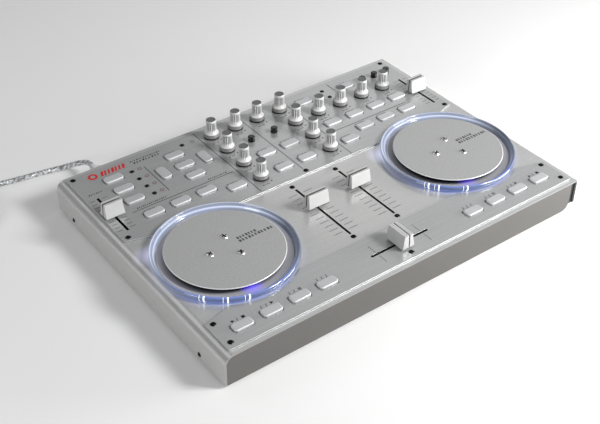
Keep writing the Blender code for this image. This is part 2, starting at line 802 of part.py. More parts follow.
def make_faders():
    make_cap("left_channel_fader", (-CHANNEL_SLOT_X, LEFT_CHANNEL_REST), CHANNEL_CAP, True)
    make_cap("right_channel_fader", (CHANNEL_SLOT_X, RIGHT_CHANNEL_REST), CHANNEL_CAP, True)
    make_cap("left_tempo_fader", (-TEMPO_SLOT_X, LEFT_TEMPO_REST), TEMPO_CAP, True)
    make_cap("right_tempo_fader", (TEMPO_SLOT_X, RIGHT_TEMPO_REST), TEMPO_CAP, True)
    make_cap("crossfader", (CROSS_REST, CROSS_SLOT_Y), CROSS_CAP, False)


# Circuit board


def switch_places():
    places = [(side * x, FRONT_KEY_Y) for side in (-1, 1) for x in FRONT_KEY_X]
    for keys, _ in KEY_GROUPS.values():
        places += [(x, y) for x, y, _ in keys]
    return places


def make_board():
    """The board with what is soldered on it: switches, pots and fader units."""
    low = BOARD_HIGH[2] - SOLDER_DEPTH
    parts = bmesh.new()
    for place in switch_places():
        add_block(parts, place, (SWITCH_HALF, SWITCH_HALF), (low, SWITCH_TOP))
    for place in knob_places().values():
        add_block(parts, place, (POT_HALF, POT_HALF), (low, POT_TOP))
    for place in TRIM_PLACES.values():
        add_block(parts, place, (TRIM_POT_HALF, TRIM_POT_HALF), (low, POT_TOP))
    for side in (-1, 1):
        for x, span in ((CHANNEL_SLOT_X, CHANNEL_SLOT_Y), (TEMPO_SLOT_X, TEMPO_SLOT_Y)):
            sides = (side * x - SLIM_UNIT_HALF, side * x + SLIM_UNIT_HALF)
            ends = (span[0] - FADER_UNIT_SPARE, span[1] + FADER_UNIT_SPARE)
            add_box(parts, sides, ends, (low, FADER_UNIT_TOP))
    ends = (CROSS_SLOT_X[0] - FADER_UNIT_SPARE, CROSS_SLOT_X[1] + FADER_UNIT_SPARE)
    sides = (CROSS_SLOT_Y - FADER_UNIT_HALF, CROSS_SLOT_Y + FADER_UNIT_HALF)
    add_box(parts, ends, sides, (low, FADER_UNIT_TOP))
    bm = bmesh.new()
    add_box(bm, *zip(BOARD_LOW, BOARD_HIGH))
    board = add_object("circuit_board", bm, "board_green")
    combine(board, add_tool("board_parts", parts), "UNION")


# USB cable


def make_socket():
    bm = bmesh.new()
    x = (USB_X - SOCKET_HALF_WIDTH, USB_X + SOCKET_HALF_WIDTH)
    z = (USB_Z - SOCKET_HALF_HEIGHT, USB_Z + SOCKET_HALF_HEIGHT)
    add_box(bm, x, (SOCKET_FRONT, SOCKET_BACK), z)
    socket = add_object("usb_socket", bm, "steel")
    mouth = bmesh.new()
    x = (USB_X - SOCKET_MOUTH[0], USB_X + SOCKET_MOUTH[0])
    z = (USB_Z - SOCKET_MOUTH[1], USB_Z + SOCKET_MOUTH[1])
    add_box(mouth, x, (SOCKET_BACK - SOCKET_DEPTH, SOCKET_BACK + CUT_SPARE), z)
    combine(socket, add_tool("socket_mouth", mouth), "DIFFERENCE")


def add_plug(bm, sections, place):
    """A plug along Y: flat sections (half width, half height, y) and then round ones (radius, y)."""
    x, z = place
    flat, round_ones = sections
    rings = []
    for a, b, y in flat:
        points = []
        for i in range(PLUG_SIDES):
            angle = 2 * math.pi * (i + 0.5) / PLUG_SIDES
            u, v = math.cos(angle), math.sin(angle)
            reach = min(a / abs(u), b / abs(v))
            points.append(bm.verts.new((x + reach * u, y, z + reach * v)))
        rings.append(points)
    for radius, y in round_ones:
        points = []
        for i in range(PLUG_SIDES):
            angle = 2 * math.pi * (i + 0.5) / PLUG_SIDES
            points.append(bm.verts.new((x + radius * math.cos(angle), y, z + radius * math.sin(angle))))
        rings.append(points)
    bm.faces.new(rings[0])
    bm.faces.new(rings[-1][::-1])
    for ring, following in zip(rings, rings[1:]):
        for i in range(PLUG_SIDES):
            j = (i + 1) % PLUG_SIDES
            bm.faces.new((ring[i], ring[j], following[j], following[i]))


def make_plugs():
    """The plug in the case's socket, and the flat plug at the cable's far end."""
    bm = bmesh.new()
    flat = [
        (*B_PLUG_SHELL, B_PLUG_TIP),
        (*B_PLUG_SHELL, B_PLUG_FACE),
        (*B_PLUG_BODY, B_PLUG_FACE),
        (*B_PLUG_BODY, B_PLUG_END),
    ]
    round_ones = [(RELIEF_RADIUS[0], B_PLUG_END), (RELIEF_RADIUS[1], B_RELIEF_END)]
    add_plug(bm, (flat, round_ones), (USB_X, USB_Z))
    add_object("usb_b_plug", bm, "cable_clear")
    bm = bmesh.new()
    body_start = A_PLUG_START - A_RELIEF_LENGTH
    body_end = body_start - A_PLUG_BODY_LENGTH
    flat = [
        (*A_PLUG_SHELL, body_end - A_PLUG_SHELL_LENGTH),
        (*A_PLUG_SHELL, body_end),
        (*A_PLUG_BODY, body_end),
        (*A_PLUG_BODY, body_start),
    ]
    round_ones = [(RELIEF_RADIUS[0], body_start), (RELIEF_RADIUS[1], A_PLUG_START)]
    add_plug(bm, (flat, round_ones), (COIL_CENTRE[0] - COIL_OUTER_TURN, A_PLUG_Z))
    add_object("usb_a_plug", bm, "cable_clear")


def smooth_route():
    """Evenly spaced points on a smooth curve (Catmull-Rom) through the route's own points."""
    points = [Vector(p) for p in ROUTE]
    padded = [2 * points[0] - points[1]] + points + [2 * points[-1] - points[-2]]
    fine = []
    for a, b, c, d in zip(padded, padded[1:], padded[2:], padded[3:]):
        for i in range(ROUTE_STEPS):
            t = i / ROUTE_STEPS
            line = (c - a) * t + (2 * a - 5 * b + 4 * c - d) * t**2 + (3 * b - a - 3 * c + d) * t**3
            fine.append(b + 0.5 * line)
    fine.append(points[-1])
    total = sum((q - p).length for p, q in zip(fine, fine[1:]))
    count = round(total / CABLE_STEP)
    spaced = [fine[0]]
    walked = 0.0
    for p, q in zip(fine, fine[1:]):
        walked += (q - p).length
        if len(spaced) < count and walked >= len(spaced) * total / count:
            spaced.append(q)
    return spaced + [fine[-1]]


def make_cable():
    """The free run of the cable as a tube, and its coil as a turned ring."""
    curve = bpy.data.curves.new("usb_cable", "CURVE")
    curve.dimensions = "3D"
    curve.bevel_depth = CABLE_RADIUS * MM
    curve.bevel_resolution = 2
    curve.use_fill_caps = True
    points = smooth_route()
    spline = curve.splines.new("POLY")
    spline.points.add(len(points) - 1)
    for point, place in zip(spline.points, points):
        point.co = (*(place * MM), 1.0)
    cable = bpy.data.objects.new("usb_cable", curve)
    bpy.context.scene.collection.objects.link(cable)
    curve.materials.append(make_material("cable_clear"))
    outer = COIL_OUTER_TURN + CABLE_RADIUS + COIL_ROOM
    inner = COIL_INNER_TURN - CABLE_RADIUS - COIL_ROOM
    profile = [(inner, COIL_TOP), (outer, COIL_TOP), (outer, COIL_BOTTOM), (inner, COIL_BOTTOM)]
    new_turned("usb_cable_coil", profile, COIL_CENTRE, COIL_SEGMENTS, "cable_clear")


def main():
    for old in list(bpy.data.objects):
        bpy.data.objects.remove(old, do_unlink=True)
    make_top_cover()
    make_base_tray()
    make_side_rail()
    make_feet()
    make_rear_plate()
    make_front_plate()
    make_jog("left", -JOG_X)
    make_jog("right", JOG_X)
    make_knobs()
    make_trims()
    make_front_keys()
    make_key_groups()
    make_faders()
    make_board()
    make_socket()
    make_plugs()
    make_cable()


main()
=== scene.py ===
"""The looks of a two-deck DJ controller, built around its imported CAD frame.

Lengths are in millimetres until add_piece() turns them into metres. X is to the right,
Y to the back and Z up; the case stands on Z 0. Every piece rides on the CAD body of the
node that it stands for.
"""

import math

import bmesh
import bpy
from mathutils import Matrix, Vector


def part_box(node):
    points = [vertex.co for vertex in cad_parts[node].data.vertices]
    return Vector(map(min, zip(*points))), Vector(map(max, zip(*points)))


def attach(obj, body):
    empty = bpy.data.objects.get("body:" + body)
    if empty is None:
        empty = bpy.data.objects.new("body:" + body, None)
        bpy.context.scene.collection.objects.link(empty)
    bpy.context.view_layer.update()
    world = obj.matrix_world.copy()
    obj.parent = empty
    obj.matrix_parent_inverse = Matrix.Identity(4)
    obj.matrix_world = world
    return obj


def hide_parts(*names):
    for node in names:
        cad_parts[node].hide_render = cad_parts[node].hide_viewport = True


MM = 0.001
SIDES = (("left", -1), ("right", 1))

# Camera and lights, in metres and watts
CAMERA_PLACE = (-0.4787, -0.6084, 0.5910)
CAMERA_RIGHT = (0.80219, -0.59702, 0.00766)
CAMERA_UP = (0.35872, 0.49217, 0.79315)
LENS = 64.56
LIGHTS = {  # place, target, size and power
    "key_light": ((0.644, -0.822, 0.855), (0.0, 0.0, 0.0), (0.34, 0.34), 15.0),
    "low_softbox": ((0.61, -0.45, 0.13), (0.12, -0.10, 0.03), (0.4, 0.2), 5.2),
    "back_card": ((1.22, 1.02, 1.18), (0.05, 0.0, 0.0), (1.2, 1.2), 1.5),
    "left_card": ((-1.25, -0.30, 0.42), (-0.19, -0.06, 0.017), (0.5, 0.3), 4.0),
    "rear_left_card": ((-0.60, 0.77, 0.90), (-0.15, -0.1, 0.0), (0.6, 0.6), 0.9),
    "back_strip": ((1.01, 1.30, 0.95), (0.1, 0.1, 0.0), (0.55, 0.4), 0.4),
}
FLOOR_HALF = 4.0

# Case
HALF_WIDTH = 189.0
SHEET = 1.5
LEFT_BEND = 8.5
RIGHT_BEND = 3.0
RIGHT_FLANGE_BOTTOM = 8.0
TRAY_CORNER = 8.0
HOLLOW_RISE = 2.0
GAP = 0.3
REAR_WINDOW = ((-160.0, 160.0), (27.9, 123.5))
FRONT_WINDOW = ((-172.0, 172.0), (-121.8, -100.0))
TRIM_WINDOW_HALF = 2.6
TEMPO_WINDOW_HALF = 2.5
RAIL_HEAD = 2.8
RAIL_NOTCH = 3.4

# Plates: the y where the round cut starts, the angle where it ends, and the corners on the left
PLATE_TOP = 33.0
PLATE_BOTTOM = 31.8
PLATE_CUT_RADIUS = 63.6
REAR_PLATE = (14.3, 123.5, ((-172.0, 22.6), (-181.4, 25.1), (-181.4, 129.3)))
FRONT_PLATE = (-87.0, -120.5, ((-181.9, -96.8), (-181.9, -130.1)))

# Screws and lamps
PLATE_SCREWS = ((-176.4, 126.3), (176.9, 126.3), (-176.4, 28.0), (176.9, 28.0), (-0.3, 18.2))
PLATE_SCREWS += ((-176.4, -100.3), (176.9, -100.3), (-176.4, -123.9), (176.9, -123.9), (0.2, -123.9))
COVER_SCREWS = ((-24.4, 6.4), (23.6, 6.0), (-24.2, -79.3), (23.7, -79.2))
SIDE_SCREWS = ((106.3, 7.3), (-98.7, 7.3))  # y and z on the left side
SCREW_SPOKES = 48
SCREW_RINGS = 10
COLUMN_LAMPS = ((-127.5, 107.6), (-127.5, 94.4), (-127.5, 81.1), (-127.5, 68.3))
OTHER_LAMPS = ((-69.1, 117.5), (94.1, 117.5), (94.1, 104.7))

# Jog wheels
JOG_X = 122.3
JOG_Y = -35.1
JOG_SEGMENTS = 128
COVER_HOLE_RADIUS = 58.0
DISH_RADIUS = 56.0
DISH_TOP = 32.7
BORE_RADIUS = 3.1
BOSS_RADIUS = 8.0
BOSS_FOOT = 19.0
PLATTER_RADIUS = 50.4
PLATTER_TOP = 37.7
PLATTER_SCREW_RADIUS = 14.5
PLATTER_SCREW_ANGLES = (180.0, 60.0, -60.0)
RING_RADIUS = 62.0
RING_WALL = ((59.6, 31.8), (60.4, 32.5), (61.2, 33.3), (61.7, 34.2), (62.0, 35.2))  # foot to crest
RING_WALL += ((62.0, 36.1), (61.8, 36.9), (61.5, 37.5), (60.9, 37.95), (60.3, 38.1))
RING_INSIDE = ((59.8, 37.8), (59.5, 37.1), (59.4, 36.4), (59.1, 36.0), (58.7, 35.95), (58.3, 35.9))
RING_INSIDE += ((57.9, 35.5), (57.6, 34.8), (57.1, 34.0), (56.4, 33.4))
RING_INSIDE += ((56.4, 29.2), (57.4, 29.2), (57.4, 31.8))
NOTCHES = {"left": (221.0, 238.5, 254.5), "right": (211.5, 220.0, 243.5)}

# Light in the jog wheels, in metres from their axes, and in degrees
# Painted highlights: the bright lines on the rings' edges and foot.
RING_EDGES = ((0.0608, 0.0009), (0.0581, 0.0008))  # middle and half width of the bright lines
RING_FOOT = (0.0322, 0.0011)  # height and half width of the bright foot
LAMP_REACH = 0.0475
LAMP_WIDTH = 0.011
GLOW_BAND = (0.0610, 0.0065)  # middle and half width of the light on the cover
GLOW_ANGLE = 146.0  # of the bright spot on the cover beside each ring
GLOW_REACH = 61.5 * MM
GLOW_WIDTH = 0.015

# Keys, knobs and faders
KEY_HALF = (8.75, 4.4)
KEY_TOP = 35.0
KEY_CORNER = 2.3
KEY_HOLE_GAP = 0.6
KNOB_HOLE_RADIUS = 3.5
TRIM_HOLE_RADIUS = 2.1
SHAFT_FOOT = 28.5
SKIRT_FOOT = 33.4
SLOT_HALF = 1.1
CHANNEL_SLOT_X = 24.0
CHANNEL_SLOT_Y = (-75.2, 1.7)
TEMPO_SLOT_X = 171.4
TEMPO_SLOT_Y = (36.4, 90.4)
CROSS_SLOT_Y = -109.6
CROSS_SLOT_X = (-30.2, 30.2)
CAP_BASE = 34.8
CAP_TOP = 47.4
CAPS = {  # half sizes across and along the slot; lean, and where the slit runs, along it
    "channel": ((10.9, 4.7), 1.95, 0.0),
    "tempo": ((9.1, 6.2), 2.9, 0.0),
    "cross": ((10.7, 6.3), 1.9, 0.7),
}
STEM_HALF = (0.6, 3.0)
STEM_FOOT = 24.0
SLIT_HALF = 0.4
SLIT_DEPTH = 1.1
GROOVE_HALF = 0.95
GROOVE_DEPTH = 1.3
FLUTES = 18
FLUTE_STEPS = 6
FLUTE_DEPTH = 0.85
KNOB_LEVELS = (  # radius, height, and share of the flutes' depth
    (3.0, SHAFT_FOOT, 0.0), (3.0, SKIRT_FOOT, 0.0), (7.2, SKIRT_FOOT, 0.0), (7.3, 34.5, 0.0),
    (7.1, 34.6, 0.0), (6.95, 37.7, 0.0), (6.8, 38.2, 0.0), (6.2, 38.8, 0.0), (5.4, 39.5, 0.0),
    (5.0, 40.2, 0.0), (4.95, 40.8, 0.8), (4.92, 41.8, 1.0), (4.78, 48.6, 1.0), (4.76, 49.3, 0.8),
    (4.75, 49.9, 0.0), (4.7, 51.2, 0.0), (4.5, 51.8, 0.0), (4.15, 52.0, 0.0), (3.95, 51.7, 0.0),
)

LEFT_COLUMN = -146.2  # x of the three keys that have no label
KEY_GROUPS = {  # places of the level keys, of the upright keys, and of the bars below that join them
    "left_deck_keys": (
        (
            (LEFT_COLUMN, 107.6), (LEFT_COLUMN, 89.0), (LEFT_COLUMN, 70.3),
            (-89.2, 44.2), (-115.3, 44.2), (-141.8, 44.2), (-63.6, 34.4),
        ),
        (),
        (((-148.0, -61.8), (42.4, 46.0)), ((-148.0, -144.4), (42.4, 109.4)), ((-65.4, -61.8), (32.6, 46.0))),
    ),
    "navigation_keys": (
        ((-83.8, 107.1), (-83.8, 88.9), (-83.8, 70.8)),
        ((-105.9, 88.9), (-62.2, 88.9)),
        (((-107.7, -60.4), (87.1, 90.7)), ((-85.6, -82.0), (69.0, 108.9))),
    ),
    "mixer_keys": (
        ((-13.0, 61.4), (-13.0, 34.4), (13.0, 61.4), (13.0, 34.4)),
        (),
        (((-14.8, 14.8), (46.2, 49.8)), ((-14.8, -11.2), (32.6, 63.2)), ((11.2, 14.8), (32.6, 63.2))),
    ),
    "right_effect_keys": (
        ((67.6, 66.4), (94.3, 66.4), (121.0, 66.4), (147.7, 66.4), (66.6, 111.6), (118.7, 111.6)),
        (),
        (((65.8, 149.5), (64.6, 68.2)), ((64.8, 120.5), (109.8, 113.4)), ((79.1, 82.7), (64.6, 113.4))),
    ),
    "right_loop_keys": (
        ((89.2, 44.2), (115.3, 44.2), (141.8, 44.2), (63.6, 34.4)),
        (),
        (((61.8, 143.6), (42.4, 46.0)), ((61.8, 65.4), (32.6, 46.0))),
    ),
}
TRANSPORT_KEYS = [f"{side}_transport_key_{n}" for side, _ in SIDES for n in (1, 2, 3, 4)]
KNOBS = ["cue_level_knob", "master_level_knob"]
KNOBS += [f"{side}_{row}_knob" for side, _ in SIDES for row in ("gain", "high", "mid", "low")]
KNOBS += [f"effect_knob_{n}" for n in (1, 2, 3, 4)]
TRIMS = ["left_balance_trim", "right_balance_trim", "mic_trim", "phones_trim", "line_trim"]

# Printed marks
INK_DEPTH = 0.1
INK_THICK = 0.05
LINE_WIDTH = 0.6
PRINTED_LINES = (
    ((-50.9, 127.8), (-50.9, 15.8)),
    ((-1.2, 127.8), (-1.2, 22.0)),
    ((49.9, 127.8), (49.9, 15.8)),
    ((-114.8, 108.0), (-114.8, 65.0)),
    ((105.9, 124.8), (105.9, 103.2)),
    ((-156.6, 55.0), (-54.3, 55.0)),
    ((59.7, 53.6), (148.2, 53.6)),
)
LABELS = (  # place, length, height and number of blocks
    ((-151.0, 57.0), 30.0, 1.7, 15),
    ((-79.0, 57.0), 20.0, 1.7, 10),
    ((-122.0, 121.2), 32.0, 1.6, 14),
    ((-120.0, 117.4), 28.0, 2.2, 9),
    ((-176.0, 97.0), 14.0, 1.5, 6),
)
CHANNEL_TICKS = [-4.9 - 6.4 * i for i in range(11)]
TEMPO_TICKS = [39.3 + 4.9 * i for i in range(11)]
ICON = 3.1
TRANSPORT_ICONS = (
    ("bar", "bar", "bar"),
    ("bar", "bar", "pause"),
    ("bar", "bar", "play"),
    ("play", "bar", "stop"),
)

# Cable
CABLE_RADIUS = 2.5
CABLE_Z = 2.6
COIL_CENTRE = (-277.0, 172.0)
COIL_OUTER = 33.8
COIL_INNER = 18.5
COIL_PITCH = 5.1
COIL_STEPS = 48  # points on each turn
CABLE_DROP = (  # from the plug down to the floor
    (-140.0, 164.2, 13.0), (-140.1, 168.0, 12.9), (-141.0, 172.4, 12.1), (-143.1, 177.2, 10.4),
    (-146.4, 181.8, 8.2), (-151.8, 187.0, 5.2), (-158.8, 190.8, 3.2),
)
CABLE_RUN = (  # along the floor to the coil
    (-167.0, 193.2), (-176.0, 194.8), (-186.0, 196.2), (-196.0, 197.8), (-206.0, 199.6), (-216.0, 201.5),
    (-227.0, 203.4), (-238.0, 204.9), (-248.0, 205.7), (-257.6, 205.8), (-267.0, COIL_CENTRE[1] + COIL_OUTER),
)
CABLE_END = ((-310.8, 160.0, 7.2), (-310.8, 150.6, 4.2))

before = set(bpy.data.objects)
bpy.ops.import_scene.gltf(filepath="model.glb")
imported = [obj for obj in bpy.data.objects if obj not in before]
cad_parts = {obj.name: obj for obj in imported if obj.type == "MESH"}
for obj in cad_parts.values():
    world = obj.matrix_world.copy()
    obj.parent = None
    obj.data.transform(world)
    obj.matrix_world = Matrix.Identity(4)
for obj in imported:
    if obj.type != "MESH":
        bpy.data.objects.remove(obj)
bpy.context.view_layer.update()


# Camera, floor and light


def make_camera():
    """The camera at the product view: from the front left, looking down."""
    back = Vector(CAMERA_RIGHT).cross(Vector(CAMERA_UP)).normalized()
    right = Vector(CAMERA_RIGHT)
    up = back.cross(right).normalized()
    data = bpy.data.cameras.new("camera")
    data.lens = LENS
    data.sensor_width = 36.0
    camera = bpy.data.objects.new("camera", data)
    turn = Matrix(((right.x, up.x, back.x), (right.y, up.y, back.y), (right.z, up.z, back.z)))
    camera.matrix_world = Matrix.Translation(CAMERA_PLACE) @ turn.to_4x4()
    bpy.context.scene.collection.objects.link(camera)
    bpy.context.scene.camera = camera


def add_area_light(name, place, target, size, power):
    """A soft white light at a place, aimed at a target."""
    data = bpy.data.lights.new(name, "AREA")
    data.shape = "RECTANGLE"
    data.size, data.size_y = size
    data.energy = power
    light = bpy.data.objects.new(name, data)
    light.location = place
    aim = Vector(target) - Vector(place)
    light.rotation_euler = aim.to_track_quat("-Z", "Y").to_euler()
    bpy.context.scene.collection.objects.link(light)


def make_light():
    """A dim neutral room, with a key light and a softbox at the front right and cards all round."""
    world = bpy.data.worlds.new("studio")
    world.use_nodes = True
    background = world.node_tree.nodes["Background"]
    background.inputs["Color"].default_value = (0.98, 0.99, 1.0, 1.0)
    background.inputs["Strength"].default_value = 0.19
    bpy.context.scene.world = world
    bpy.context.scene.view_settings.view_transform = "Standard"
    for name, light in LIGHTS.items():
        add_area_light(name, *light)


def make_floor():
    """A large sheet of pale paper."""
    bm = bmesh.new()
    corners = ((-1, -1), (1, -1), (1, 1), (-1, 1))
    bm.faces.new([bm.verts.new((x * FLOOR_HALF, y * FLOOR_HALF, 0.0)) for x, y in corners])
    mesh = bpy.data.meshes.new("floor")
    bm.to_mesh(mesh)
    bm.free()
    floor = bpy.data.objects.new("floor", mesh)
    bpy.context.scene.collection.objects.link(floor)
    graph = Graph("floor_paper", (0.87, 0.87, 0.865), 0.0, 0.75)
    graph.vary_colour(graph.noise(3.0, 2.0), 0.98, 1.01)
    graph.light_up((1.0, 1.0, 0.99), 0.08)
    mesh.materials.append(graph.material)


# Materials


def solid_colour(colour):
    """A colour with its alpha; a linked colour stays as it is."""
    return (*colour, 1.0) if isinstance(colour, tuple) else colour


class Graph:
    """One procedural material: a Principled shader, and textures in the piece's own space."""

    def __init__(self, name, colour, metallic, roughness, **sockets):
        self.material = bpy.data.materials.new(name)
        self.material.use_nodes = True
        self.nodes = self.material.node_tree.nodes
        self.links = self.material.node_tree.links
        self.shader = self.nodes["Principled BSDF"]
        self.colour = colour
        self.shade("Base Color", solid_colour(colour))
        self.shade("Metallic", metallic)
        self.shade("Roughness", roughness)
        self.shade("IOR", 1.49)
        for socket, value in sockets.items():
            self.shade(socket.replace("_", " "), value)
        self.space = self.add_node("TexCoord", "Object", {})

    def feed(self, socket, value):
        """Link a socket to another node's output, or set it."""
        if isinstance(value, bpy.types.NodeSocket):
            self.links.new(value, socket)
        else:
            socket.default_value = value

    def shade(self, socket, value):
        """Feed a socket of the shader itself."""
        self.feed(self.shader.inputs[socket], value)

    def add_node(self, kind, output, inputs, **settings):
        """One output of a new node with these inputs, each a value or another node's output."""
        node = self.nodes.new("ShaderNode" + kind)
        for setting, value in settings.items():
            setattr(node, setting, value)
        for socket, value in inputs.items():
            self.feed(node.inputs[socket], value)
        return node.outputs[output]

    def stretched(self, scale):
        """The piece's own space, stretched by a factor on each axis."""
        return self.add_node("Mapping", "Vector", {"Vector": self.space, "Scale": scale})

    def noise(self, scale, detail=3.0, stretch=(1.0, 1.0, 1.0)):
        """Noise of that many cells to the metre."""
        inputs = {"Vector": self.stretched(stretch), "Scale": scale, "Detail": detail}
        return self.add_node("TexNoise", "Fac", inputs)

    def cells(self, scale):
        """Voronoi distance of that many cells to the metre."""
        return self.add_node("TexVoronoi", "Distance", {"Vector": self.space, "Scale": scale})

    def span(self, value, low, high, start=0.25, end=0.75):
        """Value from start to end becomes low to high."""
        inputs = {"Value": value, "From Min": start, "From Max": end, "To Min": low, "To Max": high}
        return self.add_node("MapRange", "Result", inputs)

    def blend(self, factor, first, second):
        """First colour where factor is 0 and second where it is 1."""
        inputs = {"Factor": factor, "A": solid_colour(first), "B": solid_colour(second)}
        return self.add_node("Mix", "Result", inputs, data_type="RGBA")

    def combined(self, operation, first, second):
        """Arithmetic on a value and another value or number."""
        return self.add_node("Math", 0, {0: first, 1: second}, operation=operation)

    def plus(self, first, second):
        return self.combined("ADD", first, second)

    def times(self, first, second):
        return self.combined("MULTIPLY", first, second)

    def bell(self, value, middle, half):
        """1 at the middle, falling to 0 at half to each side of it."""
        away = self.combined("SUBTRACT", value, middle)
        return self.span(self.combined("ABSOLUTE", away, 0.0), 1.0, 0.0, 0.0, half)

    def distance(self, point):
        """The distance from a point in the piece's own space."""
        return self.add_node("VectorMath", "Value", {0: self.space, 1: point}, operation="DISTANCE")

    def place(self, axis):
        """X, Y or Z in the piece's own space."""
        return self.add_node("SeparateXYZ", axis, {"Vector": self.space})

    def reach(self):
        """The distance from the Z axis in the piece's own space."""
        return self.add_node("VectorMath", "Value", {0: self.stretched((1.0, 1.0, 0.0))}, operation="LENGTH")

    def light_up(self, colour, strength):
        self.shade("Emission Color", solid_colour(colour))
        self.shade("Emission Strength", strength)

    def vary_colour(self, value, darkest, lightest):
        """The base colour times darkest to lightest, by value."""
        low = tuple(c * darkest for c in self.colour)
        high = tuple(min(1.0, c * lightest) for c in self.colour)
        self.shade("Base Color", self.blend(self.span(value, 0.0, 1.0), low, high))

    def vary_roughness(self, value, low, high):
        self.shade("Roughness", self.span(value, low, high))

    def bump(self, value, depth):
        """Bump of that depth in millimetres."""
        self.shade("Normal", self.add_node("Bump", "Normal", {"Height": value, "Distance": depth * MM}))


def brushed(graph):
    """Long streaks along X."""
    return graph.noise(1.0, 4.0, (18.0, 1600.0, 1600.0))


def sprayed(graph):
    return graph.noise(620.0, 2.0)


def metal(name, colour, metallic, roughness, streak, grain, depth, finish=brushed):
    """Metal with a brushed or sprayed finish, and a fine grain."""
    graph = Graph(name, colour, metallic, roughness)
    graph.vary_colour(finish(graph), 1.0 - streak, 1.0 + streak)
    speckle = graph.noise(grain, 2.0)
    graph.vary_roughness(speckle, roughness - 0.05, roughness + 0.07)
    graph.bump(speckle, depth)
    return graph


def add_ring_glow(graph):
    """The light that the lit rings throw on the sheet round them, strongest at their left."""
    turn = math.radians(GLOW_ANGLE)
    across, along = GLOW_REACH * math.cos(turn), GLOW_REACH * math.sin(turn)
    glows = []
    for _, sign in SIDES:
        x, y, z = sign * JOG_X * MM, JOG_Y * MM, PLATE_BOTTOM * MM
        band = graph.bell(graph.distance((x, y, z)), *GLOW_BAND)
        spot = graph.span(graph.distance((x + across, y + along, z)), 0.42, 0.0, 0.0, GLOW_WIDTH)
        glows.append(graph.plus(graph.times(band, 0.09), spot))
    graph.light_up((0.62, 0.64, 1.0), graph.plus(*glows))


def plastic(name, colour, roughness, depth=0.02, **sockets):
    """Plastic with a faint moulded grain and slow changes of tone."""
    graph = Graph(name, colour, 0.0, roughness, **sockets)
    graph.vary_colour(graph.noise(90.0, 3.0), 0.96, 1.03)
    grain = graph.noise(2600.0, 2.0)
    graph.vary_roughness(grain, roughness - 0.05, roughness + 0.06)
    graph.bump(grain, depth)
    return graph.material


def ring_material():
    """Clear acrylic lit from inside, its glow painted bluer and stronger towards the user, with painted white
    highlights on its edges behind and painted highlight lines in front.
    """
    graph = Graph("lit_acrylic", (0.13, 0.15, 0.21), 0.0, 0.10, Coat_Weight=1.0, Coat_Roughness=0.03)
    # Painted light: the glow is bluer and stronger towards the front left; painted highlights run white along
    # the edges behind and bright along the edges and foot in front.
    near = graph.span(graph.place("Y"), 1.0, 0.0, -0.042, 0.012)
    left = graph.span(graph.place("X"), 1.0, 0.12, 0.020, 0.046)
    front = graph.times(near, left)
    rear = graph.span(graph.place("Y"), 0.0, 1.0, -0.004, 0.030)
    edges = graph.plus(*(graph.bell(graph.reach(), *edge) for edge in RING_EDGES))
    foot = graph.bell(graph.place("Z"), *RING_FOOT)
    white = graph.times(rear, graph.span(edges, 0.24, 0.95, 0.0, 1.0))
    lines = graph.plus(graph.times(edges, 0.45), graph.times(foot, 0.35))
    blue = graph.times(front, graph.plus(lines, 0.12))
    colour = graph.blend(front, (0.70, 0.78, 1.0), (0.16, 0.30, 1.0))
    graph.light_up(colour, graph.plus(graph.plus(white, blue), 0.06))
    graph.vary_colour(graph.noise(60.0, 2.0), 0.85, 1.1)
    graph.bump(graph.noise(300.0, 1.0), 0.03)
    return graph.material


def dish_material(name, lamp_angle, power):
    """Satin grey plastic, painted black under the platter as shade, with the lamp's violet light at the
    platter's front edge and the ring's faint light on its outer slope, both painted as emission.
    """
    grey = (0.46, 0.46, 0.49)
    graph = Graph(name, grey, 0.0, 0.36)
    # Painted shade: black inside, under the platter.
    outside = graph.span(graph.reach(), 0.0, 1.0, 0.0458, 0.0500)
    graph.shade("Base Color", graph.blend(outside, (0.012, 0.012, 0.014), grey))
    turn = math.radians(lamp_angle)
    lamp = (LAMP_REACH * math.cos(turn), LAMP_REACH * math.sin(turn), DISH_TOP * MM)
    near = graph.span(graph.distance(lamp), 1.0, 0.0, 0.0, LAMP_WIDTH)
    # Painted light: the ring's faint light on the outer slope, and the lamp's violet light near the lamp.
    outside = graph.span(graph.reach(), 0.0, 1.0, 0.0485, 0.0540)
    ring_light_on_slope = graph.blend(outside, (0.0, 0.0, 0.0), (0.075, 0.075, 0.095))
    graph.light_up(graph.blend(near, ring_light_on_slope, (0.07, 0.02, 0.85)), power)
    graph.bump(graph.noise(900.0, 2.0), 0.01)
    return graph.material


def cable_material():
    """A clear jacket over glittering braid."""
    graph = Graph("clear_jacket", (0.72, 0.74, 0.76), 0.55, 0.28, Coat_Weight=1.0, Coat_Roughness=0.08)
    graph.vary_colour(graph.cells(480.0), 1.25, 0.35)
    graph.bump(graph.cells(900.0), 0.35)
    return graph.material


def notch_material():
    """The white lines of light across the rings."""
    graph = Graph("notch_white", (0.95, 0.97, 1.0), 0.0, 0.2)
    graph.vary_colour(graph.noise(400.0), 0.95, 1.0)
    graph.light_up((0.9, 0.95, 1.0), 0.9)
    return graph.material


